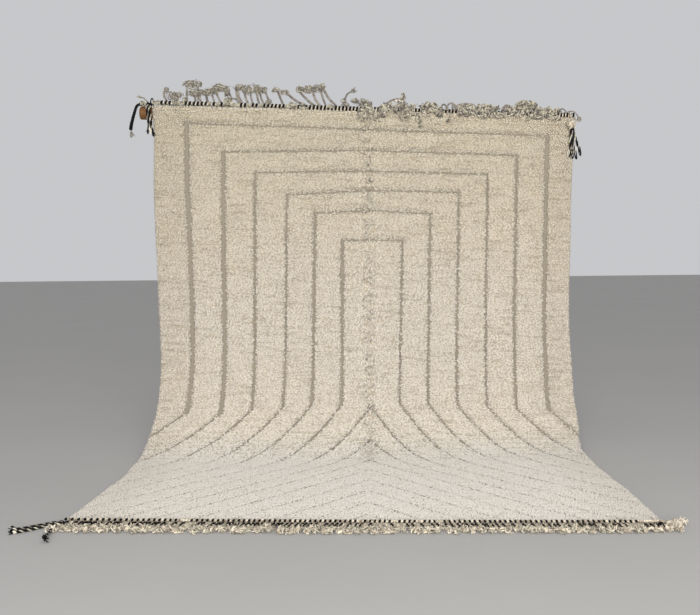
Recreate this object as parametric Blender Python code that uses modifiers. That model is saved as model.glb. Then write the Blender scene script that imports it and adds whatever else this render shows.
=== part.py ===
"""A large pile rug that hangs from a round wooden pole and sweeps forward over the floor.

Metres, +Z up, floor at z = 0. X runs across the rug, and it is seen from -Y.
The rug is modelled flat, in its own measures: across from its middle line, along from its
top hem, and height above its woven back. Its carved lines are cut there as channels, and
the slab is then draped. Flat meshes hold (across, -along, height) in their X, Y and Z.
"""
import math
import random

import bmesh
import bpy
from mathutils import Vector

# The rug as it lies flat
RUG_WIDTH = 2.500
RUG_LENGTH = 3.330
RUG_THICK = 0.022
RIM_WIDTH = 0.012
RIM_DROP = 0.007
HALF_WIDTH = RUG_WIDTH / 2

# The pole's axis drops from left to right, as it was hung
POLE_RADIUS = 0.038
POLE_LEFT_X = -1.336
POLE_RIGHT_X = 1.242
POLE_AXIS_Z = 1.934
POLE_SLOPE = -0.042
POLE_ROUNDING = 0.007
POLE_SIDES = 48

# The drape: the hem lies this far up the pole's front, and the cloth clears the wood
HEM_ANGLE = math.radians(60)
WRAP_CLEARANCE = 0.0008
BACK_RADIUS = POLE_RADIUS + WRAP_CLEARANCE
WRAP_LENGTH = HEM_ANGLE * BACK_RADIUS
SWEEP_RADIUS = 0.560
SWEEP_TILT = -0.072
SWEEP_BOW = -0.019

# Half widths of the draped rug, because its sides draw in and out. The middle stays put.
SIDES = (
    # along, left, right
    (0.00, 1.254, 1.244),
    (0.15, 1.246, 1.230),
    (0.55, 1.256, 1.218),
    (1.15, 1.246, 1.210),
    (1.60, 1.236, 1.234),
    (1.80, 1.234, 1.242),
    (2.05, 1.243, 1.218),
    (2.40, 1.246, 1.222),
    (2.63, 1.230, 1.236),
    (2.88, 1.248, 1.256),
    (3.33, 1.268, 1.264),
)
SIDE_POWER = 4

# The old centre fold and the slow swells of the hanging cloth
CREASE_ACROSS = 0.024
CREASE_WIDTH = 0.045
CREASE_DEPTH = 0.006
SWELL_HEIGHT = 0.006
SWELL_PITCH = 1.7

# Carved lines
GROOVE_WIDTH = 0.032
GROOVE_FLOOR_WIDTH = 0.022
GROOVE_DEPTH = 0.013
CUTTER_RISE = 0.010
OVERRUN = 0.060
PATTERN_MIDDLE = 0.030

# One arch a row: how far its top bar lies from the hem at the left corner, in the middle and
# at the right corner, its corners' places across the rug, and the two points, across and
# along, where its legs bend outwards
ARCHES = (
    # bar_left, bar_middle, bar_right, left, right, left_foot, right_foot
    (0.100, 0.108, 0.123, -1.050, 1.090, (-1.066, 1.850), (1.081, 1.750)),
    (0.266, 0.239, 0.240, -0.838, 0.904, (-0.864, 1.850), (0.890, 1.750)),
    (0.383, 0.360, 0.357, -0.649, 0.729, (-0.678, 1.820), (0.715, 1.740)),
    (0.508, 0.475, 0.466, -0.462, 0.560, (-0.492, 1.795), (0.540, 1.740)),
    (0.613, 0.591, 0.596, -0.294, 0.390, (-0.320, 1.775), (0.370, 1.740)),
    (0.769, 0.764, 0.760, -0.136, 0.224, (-0.146, 1.765), (0.198, 1.740)),
)

# Where along the middle line each chevron has its point, and how far a line runs
# sideways for each metre along: past its bend, and then on the floor
CHEVRONS = (1.765, 2.015, 2.260, 2.480, 2.670, 2.860, 3.050, 3.230)
LEAN_MIDDLE = 0.60
LEAN_SIDE = 0.45
FLOOR_LEAN_FROM = 2.350
FLOOR_LEAN = 0.90

# Cuts that let the flat slab bend
WRAP_STEPS = 5
SWEEP_FROM = 1.400
SWEEP_TO = 2.395
SWEEP_STEPS = 12
ROWS_HANGING = (0.22, 0.50, 0.80, 1.10)
ROWS_ON_FLOOR = (2.65, 2.90, 3.12)
COLUMNS = (-0.95, -0.62, -0.30, -0.040, 0.024, 0.088, 0.34, 0.66, 0.97)

# Trimmings
PIECE_GAP = 0.0003
EDGING_THICK = 0.012
EDGING_SIDES = 8
STRIP_WIDTH = 0.008
STRIP_THICK = 0.005
ROOT_ALONG = EDGING_THICK + 2 * PIECE_GAP + STRIP_WIDTH / 2
ROOT_RADIUS = 0.0016
ROOT_LIFT = 0.0007
STRAND_PITCH = 0.0295
STRAND_SIDES = 3
SEED = 8

# The fringe at the top: its strands stand up, but between these places they fall forward
TOP_FRINGE = (-1.190, 1.200)
FALLING = (0.020, 1.100)
TOP_HEIGHTS = (
    # across, tall
    (-1.19, 0.088), (-1.12, 0.055), (-1.06, 0.128), (-0.99, 0.128), (-0.93, 0.088),
    (-0.86, 0.112), (-0.72, 0.116), (-0.60, 0.110), (-0.50, 0.100), (-0.40, 0.116),
    (-0.23, 0.116), (-0.17, 0.056), (-0.11, 0.086), (-0.06, 0.050), (0.10, 0.050),
    (0.20, 0.078), (0.28, 0.040), (0.45, 0.052), (0.70, 0.056), (0.92, 0.050),
    (1.00, 0.082), (1.08, 0.072), (1.13, 0.034), (1.21, 0.034),
)
TALL_SCATTER = 0.006
STANDING_LEAN = 0.34
LEAN_WAVE = 0.08
LEAN_RIPPLES = 9.0
BEND_POWER = 1.3
STANDING_BACK = 0.006
STEM_FOOT = 0.013
STANDING_RADII = (ROOT_RADIUS, 0.0034, 0.0038, 0.0070, 0.0095, 0.0050)
STANDING_PARTS = (0.42, 0.68, 0.86, 1.0)
FALLING_RADII = (ROOT_RADIUS, 0.0034, 0.0065, 0.0078, 0.0078, 0.0078, 0.0050)
FALLING_PROUD = 0.0105
FALLING_FORWARD = 0.012
FALLING_DRIFT = 0.006
FALLING_TIP = 0.050
TIP_WAVE = 0.018
TIP_RIPPLES = 11.0
TIP_SCATTER = 0.006
FALLING_START = (0.002, 0.009)
FALLING_STEPS = ((0.4, 0.005), (0.7, 0.002), (1.0, 0.0))

# The fringe on the floor
FRONT_FRINGE = (-1.222, 1.222)
FRONT_SLANT = math.radians(24)
SLANT_SCATTER = 0.07
FRONT_LONG = 0.098
LONG_WAVE = 0.016
LONG_RIPPLES = 7.0
LONG_SCATTER = 0.008
WRIGGLE = 0.003
WRIGGLE_TURNS = (6.0, 40.0)
FRONT_RADII = (ROOT_RADIUS, 0.0045, 0.0050, 0.0072, 0.0085, 0.0050)
FRONT_PARTS = (0.12, 0.36, 0.62, 0.84, 1.0)

# The corner tassels. Places on the rug are across, and points are steps from the knot.
KNOT_SEGMENTS = 10
KNOT_RINGS = 6
BRAID_SIDES = 4
BRAID_START = 0.45
BRAID_END = 0.70
LYING_TOP = 0.70
KNOT_RADIUS = 0.011
KNOT_SEAT = 0.0106
CORNER_KNOT = -1.268
POLE_END_KNOT = -1.306
CORNER_BRAIDS = (
    # thick, across, spread, end
    (0.008, -1.274, -0.012, 0.175),
    (0.008, -1.262, 0.000, 0.205),
)
CROWN_HEIGHT = 0.012
CORNER_PROUD = 0.019
HANGING_STEPS = 6
HANGING_CLEAR = 0.25
GREY_STRAND = ((0, 0, 0), (-0.022, 0.004, 0.022), (-0.058, 0.006, 0.058))
GREY_THICK = 0.006
POLE_END_BRAID = ((0, 0, 0), (-0.020, -0.004, 0.004), (-0.044, -0.004, -0.006),
                  (-0.060, -0.004, -0.045), (-0.078, -0.004, -0.105), (-0.092, -0.004, -0.165))
POLE_END_THICK = 0.009
RIGHT_KNOT = (1.220, 0.052)
RIGHT_KNOT_SEAT = 0.0175
RIGHT_KNOT_RADII = (0.022, 0.0165, 0.024)
RIGHT_BRAIDS = (
    # thick, spread, long
    (0.008, -0.012, 0.165),
    (0.009, 0.020, 0.190),
    (0.008, 0.050, 0.165),
)
RIGHT_BRAID_START = (0.2, 0.0, -0.010)
RIGHT_BRAID_TOP = (0.4, -0.002, -0.012)
RIGHT_BRAID_PARTS = (0.25, 0.50, 0.75, 1.0)
RIGHT_TIE_START = (0, 0, 0.010)
RIGHT_TIE = ((0.030, 0.034), (0.006, 0.034), (-0.010, 0.028), (-0.0146, 0.019))
RIGHT_TIE_THICK = 0.008
FRONT_LEFT_KNOT = (-1.2804, -1.558)
FRONT_LEFT_RADII = (0.012, 0.012, 0.0075)
FRONT_LEFT_BRAIDS = (
    # thick, then steps across and towards the viewer
    (0.009, (-0.004, 0.004), (-0.032, -0.004), (-0.082, -0.040), (-0.132, -0.076), (-0.182, -0.104)),
    (0.009, (-0.002, -0.002), (-0.030, -0.028), (-0.072, -0.072), (-0.118, -0.112), (-0.164, -0.144)),
    (0.008, (0.004, -0.005), (0.002, -0.032), (-0.014, -0.087), (-0.024, -0.142), (-0.010, -0.192),
     (0.026, -0.229)),
)
FRONT_RIGHT_KNOT = (1.2823, -1.583)
FRONT_RIGHT_RADII = (0.019, 0.024, 0.0125)
FRONT_RIGHT_LOCKS = (
    (0.028, (0.007, 0.005), (0.036, 0.002), (0.064, 0.004), (0.088, 0.015), (0.102, 0.024)),
    (0.024, (0.004, -0.010), (0.012, -0.028), (0.018, -0.052), (0.021, -0.074), (0.022, -0.090)),
)

# The origin is on the floor under the middle of the whole thing's box
SHIFT = Vector((0.030, 0.845, 0.0))

COLOURS = {
    # red, green, blue, roughness
    "wool": (0.62, 0.55, 0.43, 0.95),
    "twine": (0.30, 0.28, 0.25, 0.90),
    "braid": (0.05, 0.05, 0.05, 0.85),
    "wood": (0.42, 0.22, 0.08, 0.55),
}


# Ways of making things

def clear_scene():
    for thing in list(bpy.data.objects):
        bpy.data.objects.remove(thing, do_unlink=True)


def make_collection(name):
    collection = bpy.data.collections.new(name)
    bpy.context.scene.collection.children.link(collection)
    return collection


def make_material(name, finish):
    red, green, blue, roughness = COLOURS[finish]
    material = bpy.data.materials.new(name)
    material.use_nodes = True
    shader = material.node_tree.nodes["Principled BSDF"]
    shader.inputs["Base Color"].default_value = (red, green, blue, 1.0)
    shader.inputs["Roughness"].default_value = roughness
    shader.inputs["Metallic"].default_value = 0.0
    material.diffuse_color = (red, green, blue, 1.0)
    return material


def new_object(name, shape, collection, finish=None):
    """A mesh object from a bmesh, which it uses up."""
    mesh = bpy.data.meshes.new(name)
    shape.to_mesh(mesh)
    shape.free()
    thing = bpy.data.objects.new(name, mesh)
    collection.objects.link(thing)
    if finish:
        mesh.materials.append(make_material(name + "_finish", finish))
    return thing


def boxed(low, high):
    """A box between two corners."""
    shape = bmesh.new()
    bmesh.ops.create_cube(shape, size=1.0)
    size = high - low
    middle = (high + low) / 2
    for vertex in shape.verts:
        vertex.co = Vector(a * b + c for a, b, c in zip(vertex.co, size, middle))
    return shape


def apply_boolean(thing, other, operation):
    """Cuts or joins another object with this one, and removes the other."""
    boolean = thing.modifiers.new(operation.title(), "BOOLEAN")
    boolean.operation = operation
    boolean.solver = "EXACT"
    boolean.object = other
    bpy.context.view_layer.update()
    evaluated = thing.evaluated_get(bpy.context.evaluated_depsgraph_get())
    mesh = bpy.data.meshes.new_from_object(evaluated)
    thing.modifiers.clear()
    old = thing.data
    for material in old.materials:
        if material.name not in mesh.materials:
            mesh.materials.append(material)
    thing.data = mesh
    bpy.data.meshes.remove(old)
    mesh.name = thing.name
    bpy.data.objects.remove(other, do_unlink=True)


def face_outwards(shape):
    shape.normal_update()
    bmesh.ops.recalc_face_normals(shape, faces=list(shape.faces))


def slice_flat(shape, rows=(), columns=()):
    """Cuts a flat shape's faces along rows and columns, so that it can bend there."""
    planes = [(Vector((0, -along, 0)), Vector((0, 1, 0))) for along in rows]
    planes += [(Vector((across, 0, 0)), Vector((1, 0, 0))) for across in columns]
    for point, normal in planes:
        everything = list(shape.verts) + list(shape.edges) + list(shape.faces)
        bmesh.ops.bisect_plane(shape, geom=everything, dist=1e-5, plane_co=point, plane_no=normal)


def ramp(low, high, value):
    """Rises smoothly from 0 at low to 1 at high."""
    part = min(max((value - low) / (high - low), 0.0), 1.0)
    return part * part * (3 - 2 * part)


# The drape

def pole_axis_height(across):
    return POLE_AXIS_Z + POLE_SLOPE * across


def pole_axis_depth():
    """The hanging pile's face is in the plane y = 0, before the shift."""
    return RUG_THICK + BACK_RADIUS


def sweep_radius(across):
    return SWEEP_RADIUS + SWEEP_TILT * across + SWEEP_BOW * across ** 2


def drawn_in(across, along):
    """The place across after the sides have drawn in."""
    along = min(max(along, SIDES[0][0]), SIDES[-1][0])
    for upper, lower in zip(SIDES, SIDES[1:]):
        if along <= lower[0]:
            break
    part = ramp(upper[0], lower[0], along)
    column = 1 if across < 0 else 2
    half = upper[column] + (lower[column] - upper[column]) * part
    moved = (half - HALF_WIDTH) * abs(across / HALF_WIDTH) ** SIDE_POWER
    return across + math.copysign(moved, across * moved)


def stand_back(across, along):
    """How far the crease and the swells move the hanging cloth away from the viewer."""
    window = ramp(0.10, 0.60, along) * (1 - ramp(1.30, 2.00, along))
    crease = CREASE_DEPTH * math.exp(-(((across - CREASE_ACROSS) / CREASE_WIDTH) ** 2))
    swell = SWELL_HEIGHT * math.sin(math.tau * across / SWELL_PITCH + 0.9)
    return window * (crease + swell)


def drape(across, along, height):
    """The place in space of a point given in the rug's own flat measures."""
    axis_z = pole_axis_height(across)
    axis_y = pole_axis_depth()
    back_y = axis_y - BACK_RADIUS
    radius = sweep_radius(across)
    drop = axis_z - radius
    if along < WRAP_LENGTH:
        angle = (WRAP_LENGTH - along) / BACK_RADIUS
        reach = BACK_RADIUS + height
        y = axis_y - reach * math.cos(angle)
        z = axis_z + reach * math.sin(angle)
    elif along < WRAP_LENGTH + drop:
        y = back_y - height
        z = axis_z - (along - WRAP_LENGTH)
    else:
        turned = along - WRAP_LENGTH - drop
        angle = min(turned / radius, math.pi / 2)
        on_floor = max(turned - radius * math.pi / 2, 0.0)
        reach = radius - height
        y = back_y - radius + reach * math.cos(angle) - on_floor
        z = radius - reach * math.sin(angle)
    y += stand_back(across, along)
    return Vector((drawn_in(across, along), y, z)) + SHIFT


def drape_shape(shape):
    bmesh.ops.triangulate(shape, faces=list(shape.faces), quad_method="BEAUTY", ngon_method="BEAUTY")
    for vertex in shape.verts:
        across, down, height = vertex.co
        vertex.co = drape(across, -down, height)


# The rug

def line_below(across, along, side):
    """A carved line from its bend down to where it has left the rug."""
    points = [Vector((across, -along))]
    if along < FLOOR_LEAN_FROM:
        lean = LEAN_MIDDLE + LEAN_SIDE * (across / HALF_WIDTH) ** 2
        across += side * lean * (FLOOR_LEAN_FROM - along)
        along = FLOOR_LEAN_FROM
        points.append(Vector((across, -along)))
    run = RUG_LENGTH + OVERRUN - along
    points.append(Vector((across + side * FLOOR_LEAN * run, -along - run)))
    return points


def arch_path(bar_left, bar_middle, bar_right, left, right, left_foot, right_foot):
    """An arch with both its legs, from one end round to the other."""
    upwards = list(reversed(line_below(*left_foot, -1)))
    bar = [Vector((left, -bar_left)), Vector((PATTERN_MIDDLE, -bar_middle)), Vector((right, -bar_right))]
    return upwards + bar + line_below(*right_foot, 1)


def chevron_path(along):
    left = line_below(PATTERN_MIDDLE, along, -1)
    right = line_below(PATTERN_MIDDLE, along, 1)
    return list(reversed(left)) + right[1:]


def add_channel(shape, path):
    """A closed cutter with mitred corners, narrower at its bottom, that stands out on top."""
    slope = (GROOVE_WIDTH - GROOVE_FLOOR_WIDTH) / 2 / GROOVE_DEPTH
    wide = GROOVE_WIDTH / 2 + slope * CUTTER_RISE
    narrow = GROOVE_FLOOR_WIDTH / 2
    top = RUG_THICK + CUTTER_RISE
    bottom = RUG_THICK - GROOVE_DEPTH
    section = ((-wide, top), (wide, top), (narrow, bottom), (-narrow, bottom))
    rings = []
    for index, point in enumerate(path):
        arriving = (point - path[index - 1]).normalized() if index else None
        leaving = (path[index + 1] - point).normalized() if index + 1 < len(path) else arriving
        arriving = arriving or leaving
        sideways = Vector((-(arriving + leaving).y, (arriving + leaving).x)).normalized()
        mitre = sideways / sideways.dot(Vector((-arriving.y, arriving.x)))
        ring = []
        for offset, level in section:
            place = point + mitre * offset
            ring.append(shape.verts.new((place.x, place.y, level)))
        rings.append(ring)
    for ring, following in zip(rings, rings[1:]):
        for here in range(4):
            there = (here + 1) % 4
            shape.faces.new((ring[here], ring[there], following[there], following[here]))
    shape.faces.new(rings[0])
    shape.faces.new(rings[-1])


def rug_rows():
    wrap = [WRAP_LENGTH * (step + 1) / WRAP_STEPS for step in range(WRAP_STEPS)]
    step = (SWEEP_TO - SWEEP_FROM) / SWEEP_STEPS
    sweep = [SWEEP_FROM + step * number for number in range(SWEEP_STEPS + 1)]
    return wrap + list(ROWS_HANGING) + sweep + list(ROWS_ON_FLOOR) + [RUG_LENGTH - RIM_WIDTH]


def round_rims(shape):
    """The pile rolls off towards all four edges."""
    for vertex in shape.verts:
        across, down, height = vertex.co
        inside = min(HALF_WIDTH - abs(across), -down, RUG_LENGTH + down)
        part = max(1 - inside / RIM_WIDTH, 0.0)
        vertex.co.z = height * (1 - part * RIM_DROP / RUG_THICK)


def make_rug(collection):
    slab = boxed(Vector((-HALF_WIDTH, -RUG_LENGTH, 0)), Vector((HALF_WIDTH, 0, RUG_THICK)))
    rug = new_object("rug", slab, collection, "wool")
    channels = bmesh.new()
    for row in ARCHES:
        add_channel(channels, arch_path(*row))
    for along in CHEVRONS:
        add_channel(channels, chevron_path(along))
    face_outwards(channels)
    apply_boolean(rug, new_object("carving", channels, collection), "DIFFERENCE")
    shape = bmesh.new()
    shape.from_mesh(rug.data)
    rims = (-HALF_WIDTH + RIM_WIDTH, HALF_WIDTH - RIM_WIDTH)
    slice_flat(shape, rug_rows(), COLUMNS + rims)
    bmesh.ops.remove_doubles(shape, verts=list(shape.verts), dist=2e-5)
    round_rims(shape)
    drape_shape(shape)
    shape.to_mesh(rug.data)
    shape.free()
    return rug


# The pole

def make_pole(collection):
    length_x = POLE_RIGHT_X - POLE_LEFT_X
    middle_x = (POLE_RIGHT_X + POLE_LEFT_X) / 2
    length = length_x * math.hypot(1, POLE_SLOPE)
    bpy.ops.mesh.primitive_cylinder_add(vertices=POLE_SIDES, radius=POLE_RADIUS, depth=length)
    pole = bpy.context.object
    pole.name = "pole"
    for holder in pole.users_collection:
        holder.objects.unlink(pole)
    collection.objects.link(pole)
    pole.rotation_euler = (0, math.pi / 2 - math.atan(POLE_SLOPE), 0)
    pole.location = Vector((middle_x, pole_axis_depth(), pole_axis_height(middle_x))) + SHIFT
    rounding = pole.modifiers.new("Rounded ends", "BEVEL")
    rounding.width = POLE_ROUNDING
    rounding.segments = 3
    rounding.limit_method = "ANGLE"
    rounding.angle_limit = math.radians(60)
    pole.data.shade_smooth()
    pole.data.materials.append(make_material("pole_finish", "wood"))
    return pole


# The twined edgings and the fringes

def make_edging(name, along, collection):
    """A thick twined cord along a hem, in the rug's flat measures and then draped."""
    apothem = EDGING_THICK / 2
    shape = bmesh.new()
    bmesh.ops.create_cone(
        shape, cap_ends=True, segments=EDGING_SIDES, depth=RUG_WIDTH,
        radius1=apothem / math.cos(math.pi / EDGING_SIDES),
        radius2=apothem / math.cos(math.pi / EDGING_SIDES))
    turn = math.pi / EDGING_SIDES
    for vertex in shape.verts:
        x, y, z = vertex.co
        level = x * math.sin(turn) + y * math.cos(turn)
        run = x * math.cos(turn) - y * math.sin(turn)
        vertex.co = Vector((z, run - along, level + apothem))
    face_outwards(shape)
    slice_flat(shape, columns=COLUMNS)
    drape_shape(shape)
    return new_object(name, shape, collection, "twine")


def make_strip(name, along, collection):
    """The narrow strip beyond the edging that the fringe's strands grow from."""
    half = STRIP_WIDTH / 2
    low = Vector((-HALF_WIDTH, -along - half, 0))
    high = Vector((HALF_WIDTH, -along + half, STRIP_THICK))
    shape = boxed(low, high)
    slice_flat(shape, columns=COLUMNS)
    drape_shape(shape)
    return new_object(name, shape, collection, "wool")


def ring_directions(path, index):
    """Two directions square to a path at one of its points."""
    before = path[max(index - 1, 0)]
    after = path[min(index + 1, len(path) - 1)]
    ahead = (after - before).normalized()
    guide = Vector((0, 0, 1)) if abs(ahead.z) < 0.8 else Vector((0, -1, 0))
    sideways = ahead.cross(guide).normalized()
    return sideways, sideways.cross(ahead)


def close_rings(shape, rings):
    sides = len(rings[0])
    for ring, following in zip(rings, rings[1:]):
        for here in range(sides):
            there = (here + 1) % sides
            shape.faces.new((ring[here], ring[there], following[there], following[here]))
    shape.faces.new(rings[0])
    shape.faces.new(rings[-1])


def add_strand(shape, path, radii, sides=STRAND_SIDES):
    """A closed strand that hangs or stands free."""
    rings = []
    for index, (point, radius) in enumerate(zip(path, radii)):
        sideways, upwards = ring_directions(path, index)
        ring = []
        for number in range(sides):
            angle = math.tau * number / sides
            offset = sideways * math.cos(angle) + upwards * math.sin(angle)
            ring.append(shape.verts.new(point + offset * radius))
        rings.append(ring)
    close_rings(shape, rings)


def add_lying_strand(shape, path, radii):
    """A closed strand that lies on the floor on a flat underside."""
    rings = []
    for index, (point, radius) in enumerate(zip(path, radii)):
        sideways, _ = ring_directions(path, index)
        level = 0.0 if index else ROOT_LIFT
        low = Vector((point.x, point.y, level))
        high = low + Vector((0, 0, 2 * radius))
        corners = (low - sideways * radius, low + sideways * radius,
                   high + sideways * radius * LYING_TOP, high - sideways * radius * LYING_TOP)
        rings.append([shape.verts.new(corner) for corner in corners])
    close_rings(shape, rings)


def fringe_places(first, last):
    count = int((last - first) / STRAND_PITCH) + 1
    return [first + STRAND_PITCH * number for number in range(count)]


def tall_at(across):
    """How tall the top fringe is, straight between the table's places."""
    for (left, low), (right, high) in zip(TOP_HEIGHTS, TOP_HEIGHTS[1:]):
        if across <= right:
            return low + (high - low) * (across - left) / (right - left)
    return TOP_HEIGHTS[-1][1]


def standing_strand(shape, across, chance):
    """A strand that stands up from the pole's crown and leans to the left."""
    root = drape(across, -ROOT_ALONG, STRIP_THICK / 2)
    tall = tall_at(across) + chance.uniform(-TALL_SCATTER, TALL_SCATTER)
    lean = STANDING_LEAN + LEAN_WAVE * math.sin(across * LEAN_RIPPLES)
    path = [root, root + Vector((0, 0, STEM_FOOT))]
    for part in STANDING_PARTS:
        path.append(root + Vector((-lean * tall * part ** BEND_POWER, STANDING_BACK * part, tall * part)))
    add_strand(shape, path, STANDING_RADII)


def falling_strand(shape, across, chance):
    """A strand that rises in a bow, falls forward over the hem and lies in front of the pile."""
    root = drape(across, -ROOT_ALONG, STRIP_THICK / 2)
    tall = tall_at(across) + chance.uniform(-TALL_SCATTER, TALL_SCATTER)
    proud = RUG_THICK + FALLING_PROUD
    tip = FALLING_TIP + TIP_WAVE * math.sin(across * TIP_RIPPLES) + chance.uniform(-TIP_SCATTER, TIP_SCATTER)
    drift = chance.uniform(-FALLING_DRIFT, FALLING_DRIFT)
    path = [root, root + Vector((0, 0, STEM_FOOT)), root + Vector((drift, -FALLING_FORWARD, tall))]
    for along, rise in (FALLING_START, *((tip * part, rise) for part, rise in FALLING_STEPS)):
        path.append(drape(across + drift, along, proud + rise))
    add_strand(shape, path, FALLING_RADII)


def floor_strand(shape, across, chance):
    """A strand that lies on the floor in front of the rug, slanting to the left."""
    root = drape(across, RUG_LENGTH + ROOT_ALONG, 0.0)
    slant = FRONT_SLANT + chance.uniform(-SLANT_SCATTER, SLANT_SCATTER)
    long = FRONT_LONG + LONG_WAVE * math.sin(across * LONG_RIPPLES)
    long += chance.uniform(-LONG_SCATTER, LONG_SCATTER)
    ahead = Vector((-math.sin(slant), -math.cos(slant), 0))
    aside = Vector((math.cos(slant), -math.sin(slant), 0))
    path = [root]
    for part in FRONT_PARTS:
        wriggle = WRIGGLE * math.sin(WRIGGLE_TURNS[0] * part + WRIGGLE_TURNS[1] * across)
        path.append(root + ahead * long * part + aside * wriggle)
    add_lying_strand(shape, path, FRONT_RADII)


def make_top_fringe(collection):
    fringe = make_strip("top_fringe", -ROOT_ALONG, collection)
    strands = bmesh.new()
    chance = random.Random(SEED)
    for across in fringe_places(*TOP_FRINGE):
        if FALLING[0] < across < FALLING[1]:
            falling_strand(strands, across, chance)
        else:
            standing_strand(strands, across, chance)
    face_outwards(strands)
    apply_boolean(fringe, new_object("strands", strands, collection), "UNION")
    return fringe


def make_front_fringe(collection):
    fringe = make_strip("front_fringe", RUG_LENGTH + ROOT_ALONG, collection)
    strands = bmesh.new()
    chance = random.Random(SEED + 1)
    for across in fringe_places(*FRONT_FRINGE):
        floor_strand(strands, across, chance)
    face_outwards(strands)
    apply_boolean(fringe, new_object("strands", strands, collection), "UNION")
    return fringe


# The corner tassels

def make_knot(name, middle, radii, collection, finish):
    """A tassel's head: a squashed round knot."""
    shape = bmesh.new()
    bmesh.ops.create_uvsphere(shape, u_segments=KNOT_SEGMENTS, v_segments=KNOT_RINGS, radius=1.0)
    for vertex in shape.verts:
        vertex.co = Vector(a * b for a, b in zip(vertex.co, radii)) + middle
    return new_object(name, shape, collection, finish)


def make_tassel(name, middle, radii, braids, collection, finish, lying=False):
    """A knot with its braids, each a list of points that starts inside the knot."""
    tassel = make_knot(name, middle, radii, collection, finish)
    strands = bmesh.new()
    for thick, path in braids:
        swell = [BRAID_START] + [1.0] * (len(path) - 2) + [BRAID_END]
        widths = [thick / 2 * part for part in swell]
        if lying:
            add_lying_strand(strands, path, widths)
        else:
            add_strand(strands, path, widths, sides=BRAID_SIDES)
    face_outwards(strands)
    apply_boolean(tassel, new_object("strands", strands, collection), "UNION")
    return tassel


def hanging(across, spread, start, end, proud):
    """Points over the pole's crown and down in front of the pile."""
    path = []
    for step in range(HANGING_STEPS + 1):
        part = step / HANGING_STEPS
        along = start + (end - start) * part
        rise = proud * ramp(0.0, HANGING_CLEAR, part)
        path.append(drape(across + spread * part, along, CROWN_HEIGHT + rise))
    return path


def stepped(knot, steps):
    return [knot + Vector(step) for step in steps]


def make_top_tassels(collection):
    crown = -ROOT_ALONG
    round_knot = (KNOT_RADIUS,) * 3
    corner = drape(CORNER_KNOT, crown, KNOT_SEAT)
    braids = [(GREY_THICK, stepped(corner, GREY_STRAND))]
    for thick, across, spread, end in CORNER_BRAIDS:
        braids.append((thick, hanging(across, spread, crown, end, CORNER_PROUD)))
    make_tassel("tassel_top_left", corner, round_knot, braids, collection, "braid")

    pole_end = drape(POLE_END_KNOT, crown, KNOT_SEAT)
    braids = [(POLE_END_THICK, stepped(pole_end, POLE_END_BRAID))]
    make_tassel("tassel_pole_end", pole_end, round_knot, braids, collection, "braid")

    knot = drape(*RIGHT_KNOT, RUG_THICK + RIGHT_KNOT_SEAT)
    braids = []
    for thick, spread, long in RIGHT_BRAIDS:
        start, forward, drop = RIGHT_BRAID_START
        path = [knot + Vector((spread * start, forward, drop))]
        start, forward, drop = RIGHT_BRAID_TOP
        for part in RIGHT_BRAID_PARTS:
            place = (spread * (start + (1 - start) * part), forward, drop - long * part)
            path.append(knot + Vector(place))
        braids.append((thick, path))
    tie = [knot + Vector(RIGHT_TIE_START)]
    tie += [drape(RIGHT_KNOT[0], along, height) for along, height in RIGHT_TIE]
    braids.append((RIGHT_TIE_THICK, tie))
    make_tassel("tassel_top_right", knot, RIGHT_KNOT_RADII, braids, collection, "wool")


def make_floor_tassel(name, place, radii, table, collection, finish):
    """A knot on the floor with braids or locks that lie flat, each a row of the table."""
    foot = Vector((*place, 0.0)) + SHIFT
    braids = [(thick, stepped(foot, [(*step, 0.0) for step in steps])) for thick, *steps in table]
    knot = foot + Vector((0, 0, radii[2]))
    make_tassel(name, knot, radii, braids, collection, finish, lying=True)


def main():
    clear_scene()
    collection = make_collection("hanging_rug")
    make_rug(collection)
    make_pole(collection)
    make_edging("top_edging", -EDGING_THICK / 2 - PIECE_GAP, collection)
    make_edging("front_edging", RUG_LENGTH + EDGING_THICK / 2 + PIECE_GAP, collection)
    make_top_fringe(collection)
    make_front_fringe(collection)
    make_top_tassels(collection)
    make_floor_tassel("tassel_front_left", FRONT_LEFT_KNOT, FRONT_LEFT_RADII,
                      FRONT_LEFT_BRAIDS, collection, "braid")
    make_floor_tassel("tassel_front_right", FRONT_RIGHT_KNOT, FRONT_RIGHT_RADII,
                      FRONT_RIGHT_LOCKS, collection, "wool")


main()
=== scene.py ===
# %% [markdown]
# # A hand-knotted pile rug over a pole
#
# The rug is one thick wool cloth. It hangs from a round wooden pole, sweeps forward in a wide
# curve and ends flat on the floor. Low lines between the pile draw nested arches and chevrons.
# This lesson dresses a plain CAD model of it. First the imported model is loaded as a fixed
# frame. Everything made later has to stay in it.

# %% Load the frame
import math

import bpy
import numpy as np
from mathutils import Matrix, Vector


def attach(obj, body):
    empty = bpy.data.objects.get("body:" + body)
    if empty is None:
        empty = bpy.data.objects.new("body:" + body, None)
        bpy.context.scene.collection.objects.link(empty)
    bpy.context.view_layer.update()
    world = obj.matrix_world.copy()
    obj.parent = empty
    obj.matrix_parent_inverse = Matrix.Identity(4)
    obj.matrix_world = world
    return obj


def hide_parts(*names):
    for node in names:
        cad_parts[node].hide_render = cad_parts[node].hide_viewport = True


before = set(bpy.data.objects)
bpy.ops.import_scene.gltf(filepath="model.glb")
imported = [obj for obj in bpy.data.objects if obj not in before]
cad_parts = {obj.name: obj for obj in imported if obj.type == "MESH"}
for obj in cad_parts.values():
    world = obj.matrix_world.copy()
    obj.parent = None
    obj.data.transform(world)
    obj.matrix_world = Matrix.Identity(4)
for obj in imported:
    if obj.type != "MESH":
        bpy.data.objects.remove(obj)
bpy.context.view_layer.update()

# %% [markdown]
# ## The camera
#
# The photograph was taken from a standing person's chest height, well below the pole and
# almost square to the rug. A camera's picture depends on where it stands, on three angles and
# on its lens. One could move it by eye, but here the values come from fitting straight edges
# of the picture, so they are typed in: a small turn, a small tilt down and a slight roll.

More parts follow.
